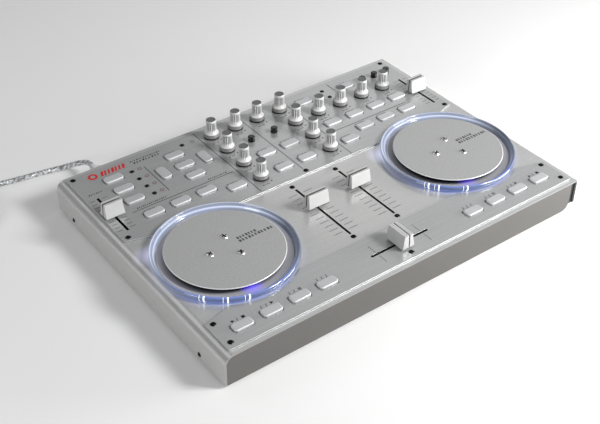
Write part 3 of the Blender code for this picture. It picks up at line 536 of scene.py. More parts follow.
def make_materials():
    """Every material by a short name."""
    cover = metal("cover_aluminium", (0.58, 0.58, 0.575), 0.40, 0.22, 0.05, 2200.0, 0.012)
    add_ring_glow(cover)
    metals = {
        "cover": cover,
        "plate": metal("plate_aluminium", (0.49, 0.495, 0.495), 0.42, 0.22, 0.09, 2600.0, 0.010),
        # Painted shade: a darker grey for the cover's faces that face the front.
        "cover_front_shade": metal("cover_front_face_shade", (0.32, 0.32, 0.32), 0.3, 0.4, 0.02, 1500.0, 0.01),
        # Painted highlight: a lighter grey for the plates' side faces, for the bright lines along their
        # edges.
        "plate_side_highlight": metal("plate_side_highlight_metal", (0.75, 0.75, 0.75), 0.5, 0.4, 0.02, 1500.0, 0.01),
        "tray": metal("dark_paint", (0.135, 0.129, 0.122), 0.3, 0.38, 0.02, 1500.0, 0.03),
        "platter": metal("platter_paint", (0.50, 0.505, 0.50), 0.35, 0.44, 0.09, 1700.0, 0.03, sprayed),
        # Painted highlight: a far lighter grey for the platters' rim than for their face.
        "rim": metal("rim_highlight_metal", (0.92, 0.92, 0.92), 0.2, 0.3, 0.0, 900.0, 0.01),
        "steel": metal("bright_steel", (0.86, 0.86, 0.85), 0.8, 0.24, 0.02, 900.0, 0.01),
    }
    found = {key: graph.material for key, graph in metals.items()}
    found |= {
        "black": plastic("black_plastic", (0.006, 0.006, 0.007), 0.25, Specular_IOR_Level=0.3),
        "satin_black": plastic("satin_black", (0.02, 0.02, 0.02), 0.38, Specular_IOR_Level=0.3),
        "rubber": plastic("rubber", (0.03, 0.03, 0.03), 0.8, 0.08),
        "white": plastic("white_plastic", (0.70, 0.70, 0.695), 0.32),
        "cap": plastic("cap_white", (0.54, 0.54, 0.535), 0.36),
        # Painted shade: dark grey inside the fader caps' grooves and slits.
        "groove": plastic("groove_shade_grey", (0.10, 0.10, 0.10), 0.45),
        "flute": plastic("flute_shade", (0.12, 0.12, 0.12), 0.5),
        "skirt": plastic("skirt_silver", (0.27, 0.265, 0.26), 0.36),
        "knob_top": plastic("knob_top_grey", (0.15, 0.15, 0.15), 0.5),
        "key": plastic("key_plastic", (0.50, 0.505, 0.515), 0.2, 0.008, Coat_Weight=0.6, Coat_Roughness=0.06),
        # Painted highlight: a lighter copy of the key plastic for the keys' rounded upper edges.
        "key_edge_highlight": plastic("key_edge_highlight", (0.74, 0.75, 0.77), 0.2, 0.008, Coat_Weight=0.6),
        "lamp": plastic("lamp_black", (0.004, 0.004, 0.005), 0.12, Specular_IOR_Level=0.5),
        # Black ink for the print, and also painted shade on the walls of the fader slots.
        "ink": plastic("black_ink_and_slot_shade", (0.02, 0.02, 0.022), 0.6, Specular_IOR_Level=0.2),
        "grey_ink": plastic("grey_ink", (0.09, 0.09, 0.09), 0.6, Specular_IOR_Level=0.2),
        "red": plastic("red_ink", (0.62, 0.02, 0.02), 0.5),
        "brown": plastic("brown_red_ink", (0.16, 0.03, 0.025), 0.55),
        "board": plastic("board_green", (0.006, 0.025, 0.012), 0.6, Specular_IOR_Level=0.2),
        "ring": ring_material(),
        "left_dish": dish_material("left_dish_plastic", 263.0, 1.0),
        "right_dish": dish_material("right_dish_plastic", 250.0, 0.55),
        "cable": cable_material(),
        "notch": notch_material(),
    }
    return found


# Mesh helpers, in millimetres


def arc(centre, radius, first, last, steps):
    """Points on an arc about the centre, from the first angle to the last, in degrees."""
    points = []
    for i in range(steps + 1):
        angle = math.radians(first + (last - first) * i / steps)
        points.append((centre[0] + radius * math.cos(angle), centre[1] + radius * math.sin(angle)))
    return points


def rounded_rect(half, radius, steps=4):
    """Points round a rectangle with round corners, anticlockwise."""
    points = []
    for i, (sx, sy) in enumerate(((1, 1), (-1, 1), (-1, -1), (1, -1))):
        centre = (sx * (half[0] - radius), sy * (half[1] - radius))
        points += arc(centre, radius, 90 * i, 90 * i + 90, steps)
    return points


def at_height(outline, centre, z):
    return [(centre[0] + x, centre[1] + y, z) for x, y in outline]


def bridge(bm, loops):
    """Faces between each loop of vertices and the next."""
    faces = []
    for loop, following in zip(loops, loops[1:]):
        for i, vert in enumerate(loop):
            j = (i + 1) % len(loop)
            faces.append(bm.faces.new((vert, loop[j], following[j], following[i])))
    return faces


def add_loops(bm, loops):
    return [[bm.verts.new(p) for p in loop] for loop in loops]


def add_skin(bm, loops):
    """Join loops of the same number of points into a closed shell, its two ends filled."""
    made = add_loops(bm, loops)
    return [bm.faces.new(made[0][::-1]), bm.faces.new(made[-1]), *bridge(bm, made)]


def add_tube(bm, loops):
    """Join loops into a closed shell whose last loop meets the first."""
    made = add_loops(bm, loops)
    return bridge(bm, made + made[:1])


def circle(centre, radius, segments):
    return arc(centre, radius, 0, 360, segments)[:-1]


def add_turned(bm, profile, centre, segments):
    """Turn (radius, z) points into a closed shell; it runs from axis to axis, or closes on itself."""
    closed = profile[0][0] > 0
    points = profile if closed else profile[1:-1]
    loops = [at_height(circle((0, 0), r, segments), centre, z) for r, z in points]
    return add_tube(bm, loops) if closed else add_skin(bm, loops)


def add_prism(bm, outline, low, high, axis="z"):
    """Extrude a flat outline: in XY along Z, or in XZ along Y with axis "y"."""
    loops = []
    for level in (low, high):
        loops.append([(u, level, v) if axis == "y" else (u, v, level) for u, v in outline])
    return add_skin(bm, loops)


def add_box(bm, x, y, z):
    """A box from its low and high value on each axis."""
    return add_prism(bm, [(x[0], y[0]), (x[1], y[0]), (x[1], y[1]), (x[0], y[1])], z[0], z[1])


def bake_modifiers(made):
    """Apply every modifier of an object."""
    graph = bpy.context.evaluated_depsgraph_get()
    graph.update()
    mesh = bpy.data.meshes.new_from_object(made.evaluated_get(graph))
    made.modifiers.clear()
    made.data = mesh
    mesh.name = made.name


def new_object(name, bm):
    """An object in metres, from a bmesh in millimetres."""
    bmesh.ops.recalc_face_normals(bm, faces=bm.faces)
    for vert in bm.verts:
        vert.co = vert.co * MM
    mesh = bpy.data.meshes.new(name)
    bm.to_mesh(mesh)
    bm.free()
    made = bpy.data.objects.new(name, mesh)
    bpy.context.scene.collection.objects.link(made)
    return made


def solid(name, outline, low, high, axis="z"):
    """An object extruded from a flat outline."""
    bm = bmesh.new()
    add_prism(bm, outline, low, high, axis)
    return new_object(name, bm)


def carve(made, tools):
    """Cut closed tools out of an object."""
    cutter = new_object("cutter", tools)
    modifier = made.modifiers.new("cut", "BOOLEAN")
    modifier.operation = "DIFFERENCE"
    modifier.solver = "EXACT"
    modifier.object = cutter
    bake_modifiers(made)
    bpy.data.objects.remove(cutter, do_unlink=True)


def soften(made, width, segments=2, angle=50.0):
    """Round the sharp edges."""
    modifier = made.modifiers.new("soften", "BEVEL")
    modifier.width = width * MM
    modifier.segments = segments
    modifier.limit_method = "ANGLE"
    modifier.angle_limit = math.radians(angle)
    modifier.use_clamp_overlap = True
    bake_modifiers(made)


def add_piece(name, shape, body, nodes=(), materials=(), origin=None, sharp=35.0):
    """Finish a piece: its origin, shading and materials, its body, and the nodes it stands for."""
    made = shape if isinstance(shape, bpy.types.Object) else new_object(name, shape)
    made.name = name
    made.data.name = name
    if origin:
        place = Vector(origin) * MM
        made.data.transform(Matrix.Translation(-place))
        made.location = place
    for key in materials:
        made.data.materials.append(MATERIAL[key])
    made.data.shade_smooth()
    made.data.set_sharp_from_angle(angle=math.radians(sharp))
    weighted = made.modifiers.new("weighted", "WEIGHTED_NORMAL")
    weighted.keep_sharp = True
    bake_modifiers(made)
    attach(made, body)
    if nodes:
        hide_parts(*nodes)
    return made


def centre_of(node):
    """The middle of a CAD node in XY, in millimetres."""
    low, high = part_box(node)
    return ((low.x + high.x) / 2 / MM, (low.y + high.y) / 2 / MM)


def low_of(node):
    return tuple(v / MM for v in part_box(node)[0])


def high_of(node):
    return tuple(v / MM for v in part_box(node)[1])


# Cable


def spiral_points():
    """The coil: in on the floor, up at its inside, and out again on top."""
    layer = (COIL_OUTER - COIL_INNER) / COIL_PITCH  # turns in each layer
    rise = 0.5
    total = 2 * layer + rise + 0.75
    points = []
    for i in range(round(total * COIL_STEPS) + 1):
        turn = i / COIL_STEPS
        if turn < layer:
            radius, z = COIL_OUTER - COIL_PITCH * turn, CABLE_Z
        elif turn < layer + rise:
            part = (turn - layer) / rise
            radius = COIL_INNER - 1.2 * math.sin(math.pi * part)
            z = CABLE_Z + COIL_PITCH * (0.5 - 0.5 * math.cos(math.pi * part))
        else:
            radius = min(COIL_OUTER, COIL_INNER + COIL_PITCH * (turn - layer - rise))
            z = CABLE_Z + COIL_PITCH
        angle = math.radians(90.0 + 360.0 * turn)
        x = COIL_CENTRE[0] + radius * math.cos(angle)
        points.append((x, COIL_CENTRE[1] + radius * math.sin(angle), z))
    return points


def smooth_line(places, steps):
    """A smooth (Catmull-Rom) line through places."""
    points = [Vector(p) for p in places]
    padded = [2 * points[0] - points[1]] + points + [2 * points[-1] - points[-2]]
    line = []
    for a, b, c, d in zip(padded, padded[1:], padded[2:], padded[3:]):
        for i in range(steps):
            t = i / steps
            bend = (c - a) * t + (2 * a - 5 * b + 4 * c - d) * t**2 + (3 * b - a - 3 * c + d) * t**3
            line.append(b + 0.5 * bend)
    return line + [points[-1]]


def make_cable():
    """The USB cable as one curve, from its plug's relief to the plug on its far end."""
    lead = smooth_line((*CABLE_DROP, *((x, y, CABLE_Z) for x, y in CABLE_RUN)), 3)
    coil = [Vector(p) for p in spiral_points()]
    points = lead + coil + smooth_line((coil[-1], *CABLE_END), 6)[1:]
    curve = bpy.data.curves.new("usb_lead", "CURVE")
    curve.dimensions = "3D"
    curve.bevel_depth = CABLE_RADIUS * MM
    curve.bevel_resolution = 5
    curve.use_fill_caps = True
    spline = curve.splines.new("POLY")
    spline.points.add(len(points) - 1)
    for point, place in zip(spline.points, points):
        point.co = (*(place * MM), 1.0)
    lead_piece = bpy.data.objects.new("usb_lead", curve)
    bpy.context.scene.collection.objects.link(lead_piece)
    curve.materials.append(MATERIAL["cable"])
    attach(lead_piece, "root")
    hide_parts("usb_cable", "usb_cable_coil")
    make_b_plug()
    make_a_plug()
    make_tie()


def plug_loops(sections, place):
    """Loops across Y: (half width, half height, corner radius, y) about a place in X and Z."""
    loops = []
    for width, height, corner, y in sections:
        outline = rounded_rect((width, height), corner)
        loops.append([(place[0] + u, y, place[1] + v) for u, v in outline])
    return loops


def relief_sections(start, pitch, steps):
    """Four round ribs of the strain relief, each thinner than the one before it."""
    sections = []
    for rib in range(4):
        for step, thinner in zip(steps, (0.0, 0.0, 0.55, 0.55)):
            radius = 3.9 - 0.2 * rib - thinner
            sections.append((radius, radius, radius - 0.01, start + pitch * rib + step))
    return sections


def make_plug(name, node, shell, grip, relief):
    """A plug along Y: its steel shell, and its white grip and strain relief."""
    low, high = low_of(node), high_of(node)
    place = ((low[0] + high[0]) / 2, (low[2] + high[2]) / 2)
    bm = bmesh.new()
    add_skin(bm, plug_loops(shell, place))
    for face in add_skin(bm, plug_loops(grip, place)) + add_skin(bm, plug_loops(relief, place)):
        face.material_index = 1
    return add_piece(name, bm, "root", [node], ("steel", "white"))


def make_b_plug():
    """The square plug in the case's socket."""
    face, end = 134.6, 154.6
    shell = ((4.2, 3.85, 0.6, low_of("usb_b_plug")[1]), (4.2, 3.85, 0.6, face + 0.5))
    grip = (
        (5.6, 4.8, 1.0, face),
        (6.2, 5.4, 1.4, face + 0.8),
        (6.2, 5.4, 1.4, face + 6.0),
        (5.8, 5.0, 1.6, face + 7.0),
        (5.8, 5.0, 1.6, end - 5.0),
        (6.1, 5.3, 1.6, end - 4.0),
        (5.6, 5.0, 2.0, end - 0.6),
        (4.4, 4.2, 2.4, end),
    )
    relief = relief_sections(end - 0.5, 2.3, (0.0, 1.3, 1.5, 2.1))
    return make_plug("usb_b_connector", "usb_b_plug", shell, grip, relief)


def make_a_plug():
    """The flat plug on the cable's far end."""
    tip = low_of("usb_a_plug")[1]
    face, end = tip + 12.0, high_of("usb_a_plug")[1] - 10.0
    shell = ((6.0, 2.25, 0.3, tip), (6.0, 2.25, 0.3, face + 0.5))
    grip = (
        (7.2, 3.5, 0.8, face),
        (7.8, 4.0, 1.2, face + 0.8),
        (7.8, 4.0, 1.2, face + 13.0),
        (7.2, 3.6, 1.4, face + 14.0),
        (7.2, 3.6, 1.4, end - 4.0),
        (7.4, 3.8, 1.6, end - 3.0),
        (4.6, 3.6, 1.8, end),
    )
    relief = relief_sections(end - 0.5, 2.5, (0.0, 1.4, 1.6, 2.3))
    return make_plug("usb_a_connector", "usb_a_plug", shell, grip, relief)


def make_tie():
    """A black strap round all the coil's turns."""
    middle = ((COIL_INNER + COIL_OUTER) / 2, CABLE_Z + COIL_PITCH / 2)
    half = ((COIL_OUTER - COIL_INNER) / 2 + CABLE_RADIUS + 0.3, COIL_PITCH / 2 + CABLE_RADIUS + 0.1)
    outer = rounded_rect((half[0] + 0.5, half[1]), 2.6)
    inner = rounded_rect((half[0] - 0.1, half[1] - 0.6), 2.0)
    turn = Matrix.Translation((*COIL_CENTRE, 0)) @ Matrix.Rotation(math.radians(-70.0), 4, "Z")
    loops = []
    for outline, side in ((outer, -3.5), (outer, 3.5), (inner, 3.5), (inner, -3.5)):
        loops.append([turn @ Vector((middle[0] + u, side, middle[1] + v)) for u, v in outline])
    bm = bmesh.new()
    add_tube(bm, loops)
    return add_piece("cable_tie", bm, "root", (), ("satin_black",))


# Case


def cover_outline():
    """The cover's section: flanges down both sides, and the bends between."""
    left, _, bottom = low_of("top_cover")
    right, _, top = high_of("top_cover")
    left_centre = (left + LEFT_BEND, top - LEFT_BEND)
    right_centre = (right - RIGHT_BEND, top - RIGHT_BEND)
    outline = [(left, bottom)]
    outline += arc(left_centre, LEFT_BEND, 180, 90, 24)
    outline += arc(right_centre, RIGHT_BEND, 90, 0, 12)
    outline += [(right, RIGHT_FLANGE_BOTTOM), (right - SHEET, RIGHT_FLANGE_BOTTOM)]
    outline += arc(right_centre, RIGHT_BEND - SHEET, 0, 90, 12)
    outline += arc(left_centre, LEFT_BEND - SHEET, 90, 180, 24)
    return outline + [(left + SHEET, bottom)]


def slot_span(centre, half=SLOT_HALF):
    return (centre - half, centre + half)


def paint_slot_shade(made, slots, index):
    """Give the walls of openings a material slot, for painted shade there: x and y of each."""
    for face in made.data.polygons:
        if abs(face.normal.z) > 0.5:
            continue
        middle = face.center / MM
        for x, y in slots:
            if x[0] - 0.1 < middle.x < x[1] + 0.1 and y[0] - 0.1 < middle.y < y[1] + 0.1:
                face.material_index = index


def make_cover():
    """The bent sheet, with its jog holes, fader slots and the windows under the plates."""
    low, high = low_of("top_cover"), high_of("top_cover")
    cover = solid("cover_shell", cover_outline(), low[1], high[1], "y")
    z = (high[2] - SHEET - 1, high[2] + 1)
    cuts = bmesh.new()
    for _, side in SIDES:
        add_prism(cuts, circle((side * JOG_X, JOG_Y), COVER_HOLE_RADIUS, JOG_SEGMENTS), *z)
        add_box(cuts, slot_span(side * CHANNEL_SLOT_X), CHANNEL_SLOT_Y, z)
        tempo_ends = (TEMPO_SLOT_Y[0] - 1, TEMPO_SLOT_Y[1] + 1)
        add_box(cuts, slot_span(side * TEMPO_SLOT_X, TEMPO_WINDOW_HALF), tempo_ends, z)
    add_box(cuts, *REAR_WINDOW, z)
    add_box(cuts, *FRONT_WINDOW, z)
    add_box(cuts, *(slot_span(middle, TRIM_WINDOW_HALF) for middle in centre_of("line_trim")), z)
    notch_x = (high[0] - RIGHT_BEND - GAP, high[0] + 1)
    add_box(cuts, notch_x, (low[1] - 1, low[1] + RAIL_NOTCH), (low[2] - 1, high[2] - SHEET))
    carve(cover, cuts)
    soften(cover, 0.28)
    # Painted shade: faces turned to the front take the darker grey of the third slot.
    for face in cover.data.polygons:
        face.material_index = 2 if face.normal.y < -0.7 else 0
    # Painted shade: the walls of the channel slots take the black of the second slot.
    paint_slot_shade(cover, [(slot_span(side * CHANNEL_SLOT_X), CHANNEL_SLOT_Y) for _, side in SIDES], 1)
    add_piece("cover_shell", cover, "root", ["top_cover"], ("cover", "ink", "cover_front_shade"))


def tray_outline(inset):
    """The tray's section; the hollow's own outline is inset and open at the top."""
    low, high = low_of("base_tray"), high_of("base_tray")
    left, right, bottom = low[0] + inset, high[0] - inset, low[2] + inset
    top = high[2] + (HOLLOW_RISE if inset else 0.0)
    bend = LEFT_BEND - SHEET
    corner = (high[0] - TRAY_CORNER, low[2] + TRAY_CORNER)
    outline = [(left, bottom), *arc(corner, TRAY_CORNER - inset, 270, 360, 16), (right, top)]
    if inset:
        return outline + [(left + bend, top), (left, high[2] - bend - inset)]
    return outline + arc((left + bend, top - bend), bend, 90, 180, 16)


def make_tray():
    """The tray with the dark front panel, and the USB socket's hole in its back."""
    low, high = low_of("base_tray"), high_of("base_tray")
    tray = solid("tray_shell", tray_outline(0.0), low[1], high[1], "y")
    hollow = bmesh.new()
    add_prism(hollow, tray_outline(SHEET), low[1] + SHEET, high[1] - SHEET, "y")
    carve(tray, hollow)
    mouth = bmesh.new()
    x, _, z = ((a - GAP, b + GAP) for a, b in zip(low_of("usb_socket"), high_of("usb_socket")))
    add_box(mouth, x, (high[1] - SHEET - 1, high[1] + 1), z)
    carve(tray, mouth)
    soften(tray, 0.35)
    add_piece("tray_shell", tray, "root", ["base_tray"], ("tray",))


def make_rail():
    """The black rail under the cover's right edge; its head is two columns with a groove between."""
    left, front, bottom = low_of("right_side_rail")
    right, back, top = high_of("right_side_rail")
    head, flange = front + RAIL_HEAD, HALF_WIDTH - RIGHT_BEND - GAP
    outline = [(left, front + 0.5), (left + 2.3, front + 0.5), (left + 2.3, front + 1.6)]
    outline += [(left + 3.1, front + 1.6), (left + 3.1, front + 0.7)]
    outline += arc((left + 4.0, front + 0.9), 0.9, 180, 270, 4)[1:]
    outline += arc((right - 1.6, front + 1.6), 1.6, 270, 360, 6)
    outline += [(right, head), (flange, head), (flange, back), (left, back)]
    rail = solid("side_rail_bar", outline, bottom, top)
    soften(rail, 0.5, 3)
    add_piece("side_rail_bar", rail, "root", ["right_side_rail"], ("satin_black",))


def make_feet():
    """Round rubber feet with a screw sunk in each."""
    pad = [(0, 2.0), (7.0, 2.0), (7.0, 1.4), (6.6, 0.4), (6.1, 0.0)]
    pad += [(3.4, 0.0), (3.0, 0.3), (3.0, 1.5), (0, 1.5)]
    screw = [(0, 1.6), (2.3, 1.6), (2.3, 1.0), (1.6, 0.6), (0, 0.6)]
    for node in [f"{depth}_{side}_foot" for depth in ("front", "rear") for side, _ in SIDES]:
        centre = centre_of(node)
        bm = bmesh.new()
        add_turned(bm, pad, centre, 48)
        for face in add_turned(bm, screw, centre, 24):
            face.material_index = 1
        add_piece(node + "_pad", bm, "root", [node], ("rubber", "steel"), (*centre, 0.0))


# Raised plates


def angle_at(y):
    """The angle at which the plates' round cut about a jog wheel reaches that y."""
    return math.degrees(math.asin((y - JOG_Y) / PLATE_CUT_RADIUS))


def plate_outline(start, end, corners):
    """A plate's outline: its round cut and corners on the left, and their mirror image."""
    left = arc((-JOG_X, JOG_Y), PLATE_CUT_RADIUS, angle_at(start), end, 40) + list(corners)
    return left + [(-x, y) for x, y in reversed(left)]


def key_places(node):
    """The keys of a CAD node: (x, y, upright)."""
    if node not in KEY_GROUPS:
        return [(*centre_of(node), False)]
    level, upright, _ = KEY_GROUPS[node]
    return [(x, y, False) for x, y in level] + [(x, y, True) for x, y in upright]


def key_half(upright):
    return KEY_HALF[::-1] if upright else KEY_HALF


def grown(half, by):
    return (half[0] + by, half[1] + by)


def make_plate(name, node, outline, keys, shafts, slots):
    """A raised plate, with holes for keys (nodes), round shafts and slots."""
    z = (PLATE_BOTTOM - 1, PLATE_TOP + 1)
    plate = solid(name, outline, PLATE_BOTTOM, PLATE_TOP)
    cuts = bmesh.new()
    for key in keys:
        for x, y, upright in key_places(key):
            hole = rounded_rect(grown(key_half(upright), KEY_HOLE_GAP), KEY_CORNER)
            add_prism(cuts, [(x + a, y + b) for a, b in hole], *z)
    for centre, radius in shafts:
        add_prism(cuts, circle(centre, radius, 20), *z)
    for x, y in slots:
        add_box(cuts, x, y, z)
    carve(plate, cuts)
    soften(plate, 0.22)
    # Painted highlight: the side faces take the lighter grey of the second slot.
    for face in plate.data.polygons:
        face.material_index = 1 if abs(face.normal.z) < 0.2 else 0
    # Painted shade: the walls of the tempo and cross slots take the black of the third slot.
    paint_slot_shade(plate, slots, 2)
    add_piece(name, plate, "root", [node], ("plate", "plate_side_highlight", "ink"))


def make_plates():
    shafts = [(centre_of(name), KNOB_HOLE_RADIUS) for name in KNOBS]
    shafts += [(centre_of(name), TRIM_HOLE_RADIUS) for name in TRIMS]
    slots = [(slot_span(side * TEMPO_SLOT_X), TEMPO_SLOT_Y) for _, side in SIDES]
    make_plate("rear_control_plate", "rear_plate", plate_outline(*REAR_PLATE), KEY_GROUPS, shafts, slots)
    slots = [(CROSS_SLOT_X, slot_span(CROSS_SLOT_Y))]
    make_plate("front_control_plate", "front_plate", plate_outline(*FRONT_PLATE), TRANSPORT_KEYS, (), slots)


# Jog wheels


def make_ring(side, centre):
    bm = bmesh.new()
    add_turned(bm, (*RING_WALL, *RING_INSIDE), centre, JOG_SEGMENTS)
    node = f"{side}_jog_ring"
    add_piece(f"{side}_lit_ring", bm, "root", [node], ("ring",), (*centre, 0.0), 60.0)
    notches = bmesh.new()
    for angle in NOTCHES[side]:
        add_notch(notches, centre, angle, 0.62)
        add_notch(notches, centre, angle - 3.4, 0.16)
    add_piece(f"{side}_ring_notches", notches, "root", (), ("notch",))


def add_notch(bm, centre, angle, half_width):
    """A thin rib that follows the ring's outer face at an angle."""
    half = math.degrees(half_width / RING_RADIUS)
    section = [(r + 0.15, z + 0.05) for r, z in RING_WALL]
    section += [(r - 0.5, z - 0.3) for r, z in reversed(RING_WALL)]
    loops = []
    for turn in (angle - half, angle, angle + half):
        c, s = math.cos(math.radians(turn)), math.sin(math.radians(turn))
        loops.append([(centre[0] + r * c, centre[1] + r * s, z) for r, z in section])
    add_skin(bm, loops)


def make_dish(side, centre):
    """The dish under the platter: flat inside, and sloping up to the ring."""
    low = DISH_TOP - 1.4
    profile = [
        (BORE_RADIUS, DISH_TOP),
        (45.0, DISH_TOP),
        (47.0, DISH_TOP - 0.7),
        (51.5, DISH_TOP - 0.7),
        (55.2, DISH_TOP + 0.2),
        (DISH_RADIUS, DISH_TOP + 0.3),
        (DISH_RADIUS, low),
        (BOSS_RADIUS, low),
        (BOSS_RADIUS, BOSS_FOOT),
        (BORE_RADIUS, BOSS_FOOT),
    ]
    bm = bmesh.new()
    add_turned(bm, profile, centre, 96)
    node = f"{side}_jog_bearing"
    add_piece(f"{side}_jog_dish", bm, "root", [node], (f"{side}_dish",), (*centre, 0.0))


def make_platter(side, centre):
    """The turning disc: a sprayed face, a rim painted lighter as a highlight, and an undercut painted black
    as the shade under the rim.
    """
    profile = [
        (0, PLATTER_TOP),
        (PLATTER_RADIUS - 0.6, PLATTER_TOP),
        (PLATTER_RADIUS - 0.1, PLATTER_TOP - 0.35),
        (PLATTER_RADIUS, PLATTER_TOP - 0.6),
        (PLATTER_RADIUS - 0.3, PLATTER_TOP - 0.8),
        (PLATTER_RADIUS - 2.2, PLATTER_TOP - 2.0),
        (0, PLATTER_TOP - 2.0),
    ]
    bm = bmesh.new()
    faces = add_turned(bm, profile, centre, JOG_SEGMENTS)
    # Painted highlight on the rim's bevel, and painted shade in black on the undercut.
    for face in faces[2:]:
        middle = face.calc_center_median()
        face.material_index = 1 if middle.z > PLATTER_TOP - 0.65 else 2
    origin = (*centre, PLATTER_TOP)
    materials = ("platter", "rim", "black")
    node = f"{side}_jog_platter"
    add_piece(f"{side}_platter_disc", bm, f"{side}_jog", [node], materials, origin, 20.0)


def make_platter_fittings(side, centre):
    """The platter's three cross-head screws and its printed marks."""
    body = f"{side}_jog"
    screws = bmesh.new()
    for angle in PLATTER_SCREW_ANGLES:
        turn = math.radians(angle)
        x = centre[0] + PLATTER_SCREW_RADIUS * math.cos(turn)
        y = centre[1] + PLATTER_SCREW_RADIUS * math.sin(turn)
        add_screw(screws, (x, y, PLATTER_TOP), 3.6, 1.4, 35.0 + angle)
    # Painted shade: black in the steel screws' cross recesses.
    add_piece(f"{side}_platter_screws", screws, body, (), ("steel", "black"), None, 40.0)
    marks = bmesh.new()
    add_dashes(marks, (centre[0] + 14.4, centre[1] + 2.9), 19.6, 3.0, 7, PLATTER_TOP, 0.0, 0.46)
    add_dashes(marks, (centre[0] + 14.0, centre[1] - 1.3), 34.0, 3.0, 11, PLATTER_TOP, 0.0, 0.46)
    add_piece(f"{side}_platter_marks", marks, body, (), ("grey_ink",))


def make_jogs():
    for side, sign in SIDES:
        centre = (sign * JOG_X, JOG_Y)
        make_ring(side, centre)
        make_dish(side, centre)
        make_platter(side, centre)
        make_platter_fittings(side, centre)


# Screws, lamps and printed marks


def add_screw(bm, place, radius, height, turn, axis="z"):
    """A domed head with a cross recess; with axis "x" it stands on the left side, facing -X."""
    angles = [2 * math.pi * i / SCREW_SPOKES for i in range(SCREW_SPOKES)]

    def in_cross(u, v):
        return min(abs(u), abs(v)) < radius * 0.19 and max(abs(u), abs(v)) < radius * 0.66

    loops = [[(radius * math.cos(a), radius * math.sin(a), -0.2) for a in angles]]
    for i in range(SCREW_RINGS):
        reach = radius * (1.0 - i / SCREW_RINGS)
        dome = height * (1.0 - (reach / radius) ** 3)
        places = [(reach * math.cos(a), reach * math.sin(a)) for a in angles]
        loops.append([(u, v, dome - (0.85 * height if in_cross(u, v) else 0.0)) for u, v in places])
    faces = add_skin(bm, loops)
    for face in faces[1:]:
        middle = face.calc_center_median()
        if in_cross(middle.x, middle.y):
            face.material_index = 1
    place_it = Matrix.Translation(place)
    if axis == "x":
        place_it = place_it @ Matrix.Rotation(math.radians(-90), 4, "Y")
    place_it = place_it @ Matrix.Rotation(math.radians(turn), 4, "Z")
    verts = {vert for face in faces for vert in face.verts}
    bmesh.ops.transform(bm, matrix=place_it, verts=list(verts))


def ink_heights(z):
    """The bottom and top of ink on a face at that height."""
    return (z - INK_DEPTH, z + INK_THICK)


def add_dashes(bm, start, length, height, count, z=PLATE_TOP, lean=0.25, share=0.34):
    """A row of small printed blocks, where the real object has a label."""
    pitch = length / count
    slant = lean * height
    low, high = start[1], start[1] + height
    for i in range(count):
        x = start[0] + i * pitch
        width = pitch * (share if i % 3 else share + 0.2)
        outline = [(x, low), (x + width, low), (x + width + slant, high), (x + slant, high)]
        add_prism(bm, outline, *ink_heights(z))


def make_screws():
    """The black screws on the plates, the cover and the left side."""
    bm = bmesh.new()
    for number, place in enumerate(PLATE_SCREWS):
        add_screw(bm, (*place, PLATE_TOP), 2.5, 1.0, 37.0 * number)
    cover_top = high_of("top_cover")[2]
    for number, place in enumerate(COVER_SCREWS):
        add_screw(bm, (*place, cover_top), 2.5, 1.0, 20.0 + 37.0 * number)
    left = low_of("top_cover")[0]
    for y, z in SIDE_SCREWS:
        add_screw(bm, (left, y, z), 2.2, 0.9, 15.0, "x")
    add_piece("case_screws", bm, "root", (), ("black", "black"), None, 40.0)


def make_lamps():
    """The small dark lamp windows on the rear plate."""
    bm = bmesh.new()
    profile = [(0, PLATE_TOP + 1.1), (1.2, PLATE_TOP + 0.95), (1.9, PLATE_TOP + 0.5), (2.2, PLATE_TOP + 0.1)]
    profile += [(2.25, PLATE_TOP - 0.2), (0, PLATE_TOP - 0.2)]
    for place in (*COLUMN_LAMPS, *OTHER_LAMPS):
        add_turned(bm, profile, place, 24)
    add_piece("lamp_windows", bm, "root", (), ("lamp",))


def add_line(bm, start, end, width, z=PLATE_TOP):
    """A printed line along X or Y."""
    x, y = ((min(pair) - width / 2, max(pair) + width / 2) for pair in zip(start, end))
    add_box(bm, x, y, ink_heights(z))


def add_printed_ring(bm, place, radius, width):
    """A printed circle."""
    low, high = ink_heights(PLATE_TOP)
    inner = radius - width
    add_turned(bm, [(radius, low), (radius, high), (inner, high), (inner, low)], place, 24)


def add_icons(bm, x, y, kinds):
    """Small play, stop and pause signs and slanted bars in a row."""
    z = ink_heights(PLATE_TOP)
    for kind in kinds:
        if kind == "play":
            add_prism(bm, [(x, y), (x + ICON * 0.9, y + ICON / 2), (x, y + ICON)], *z)
        elif kind == "stop":
            add_box(bm, (x, x + ICON * 0.9), (y, y + ICON * 0.9), z)
        elif kind == "pause":
            add_box(bm, (x, x + 0.8), (y, y + ICON), z)
            add_box(bm, (x + 1.5, x + 2.3), (y, y + ICON), z)
        else:
            add_prism(bm, [(x, y), (x + 0.5, y), (x + 1.3, y + ICON), (x + 0.8, y + ICON)], *z)
        x += ICON * 1.5


def add_slot_ticks(bm, centre, places, near, far, z):
    """Tick lines on both sides of a slot along Y."""
    for y in places:
        for _, side in SIDES:
            add_line(bm, (centre + side * near, y), (centre + side * far, y), 0.42, z)


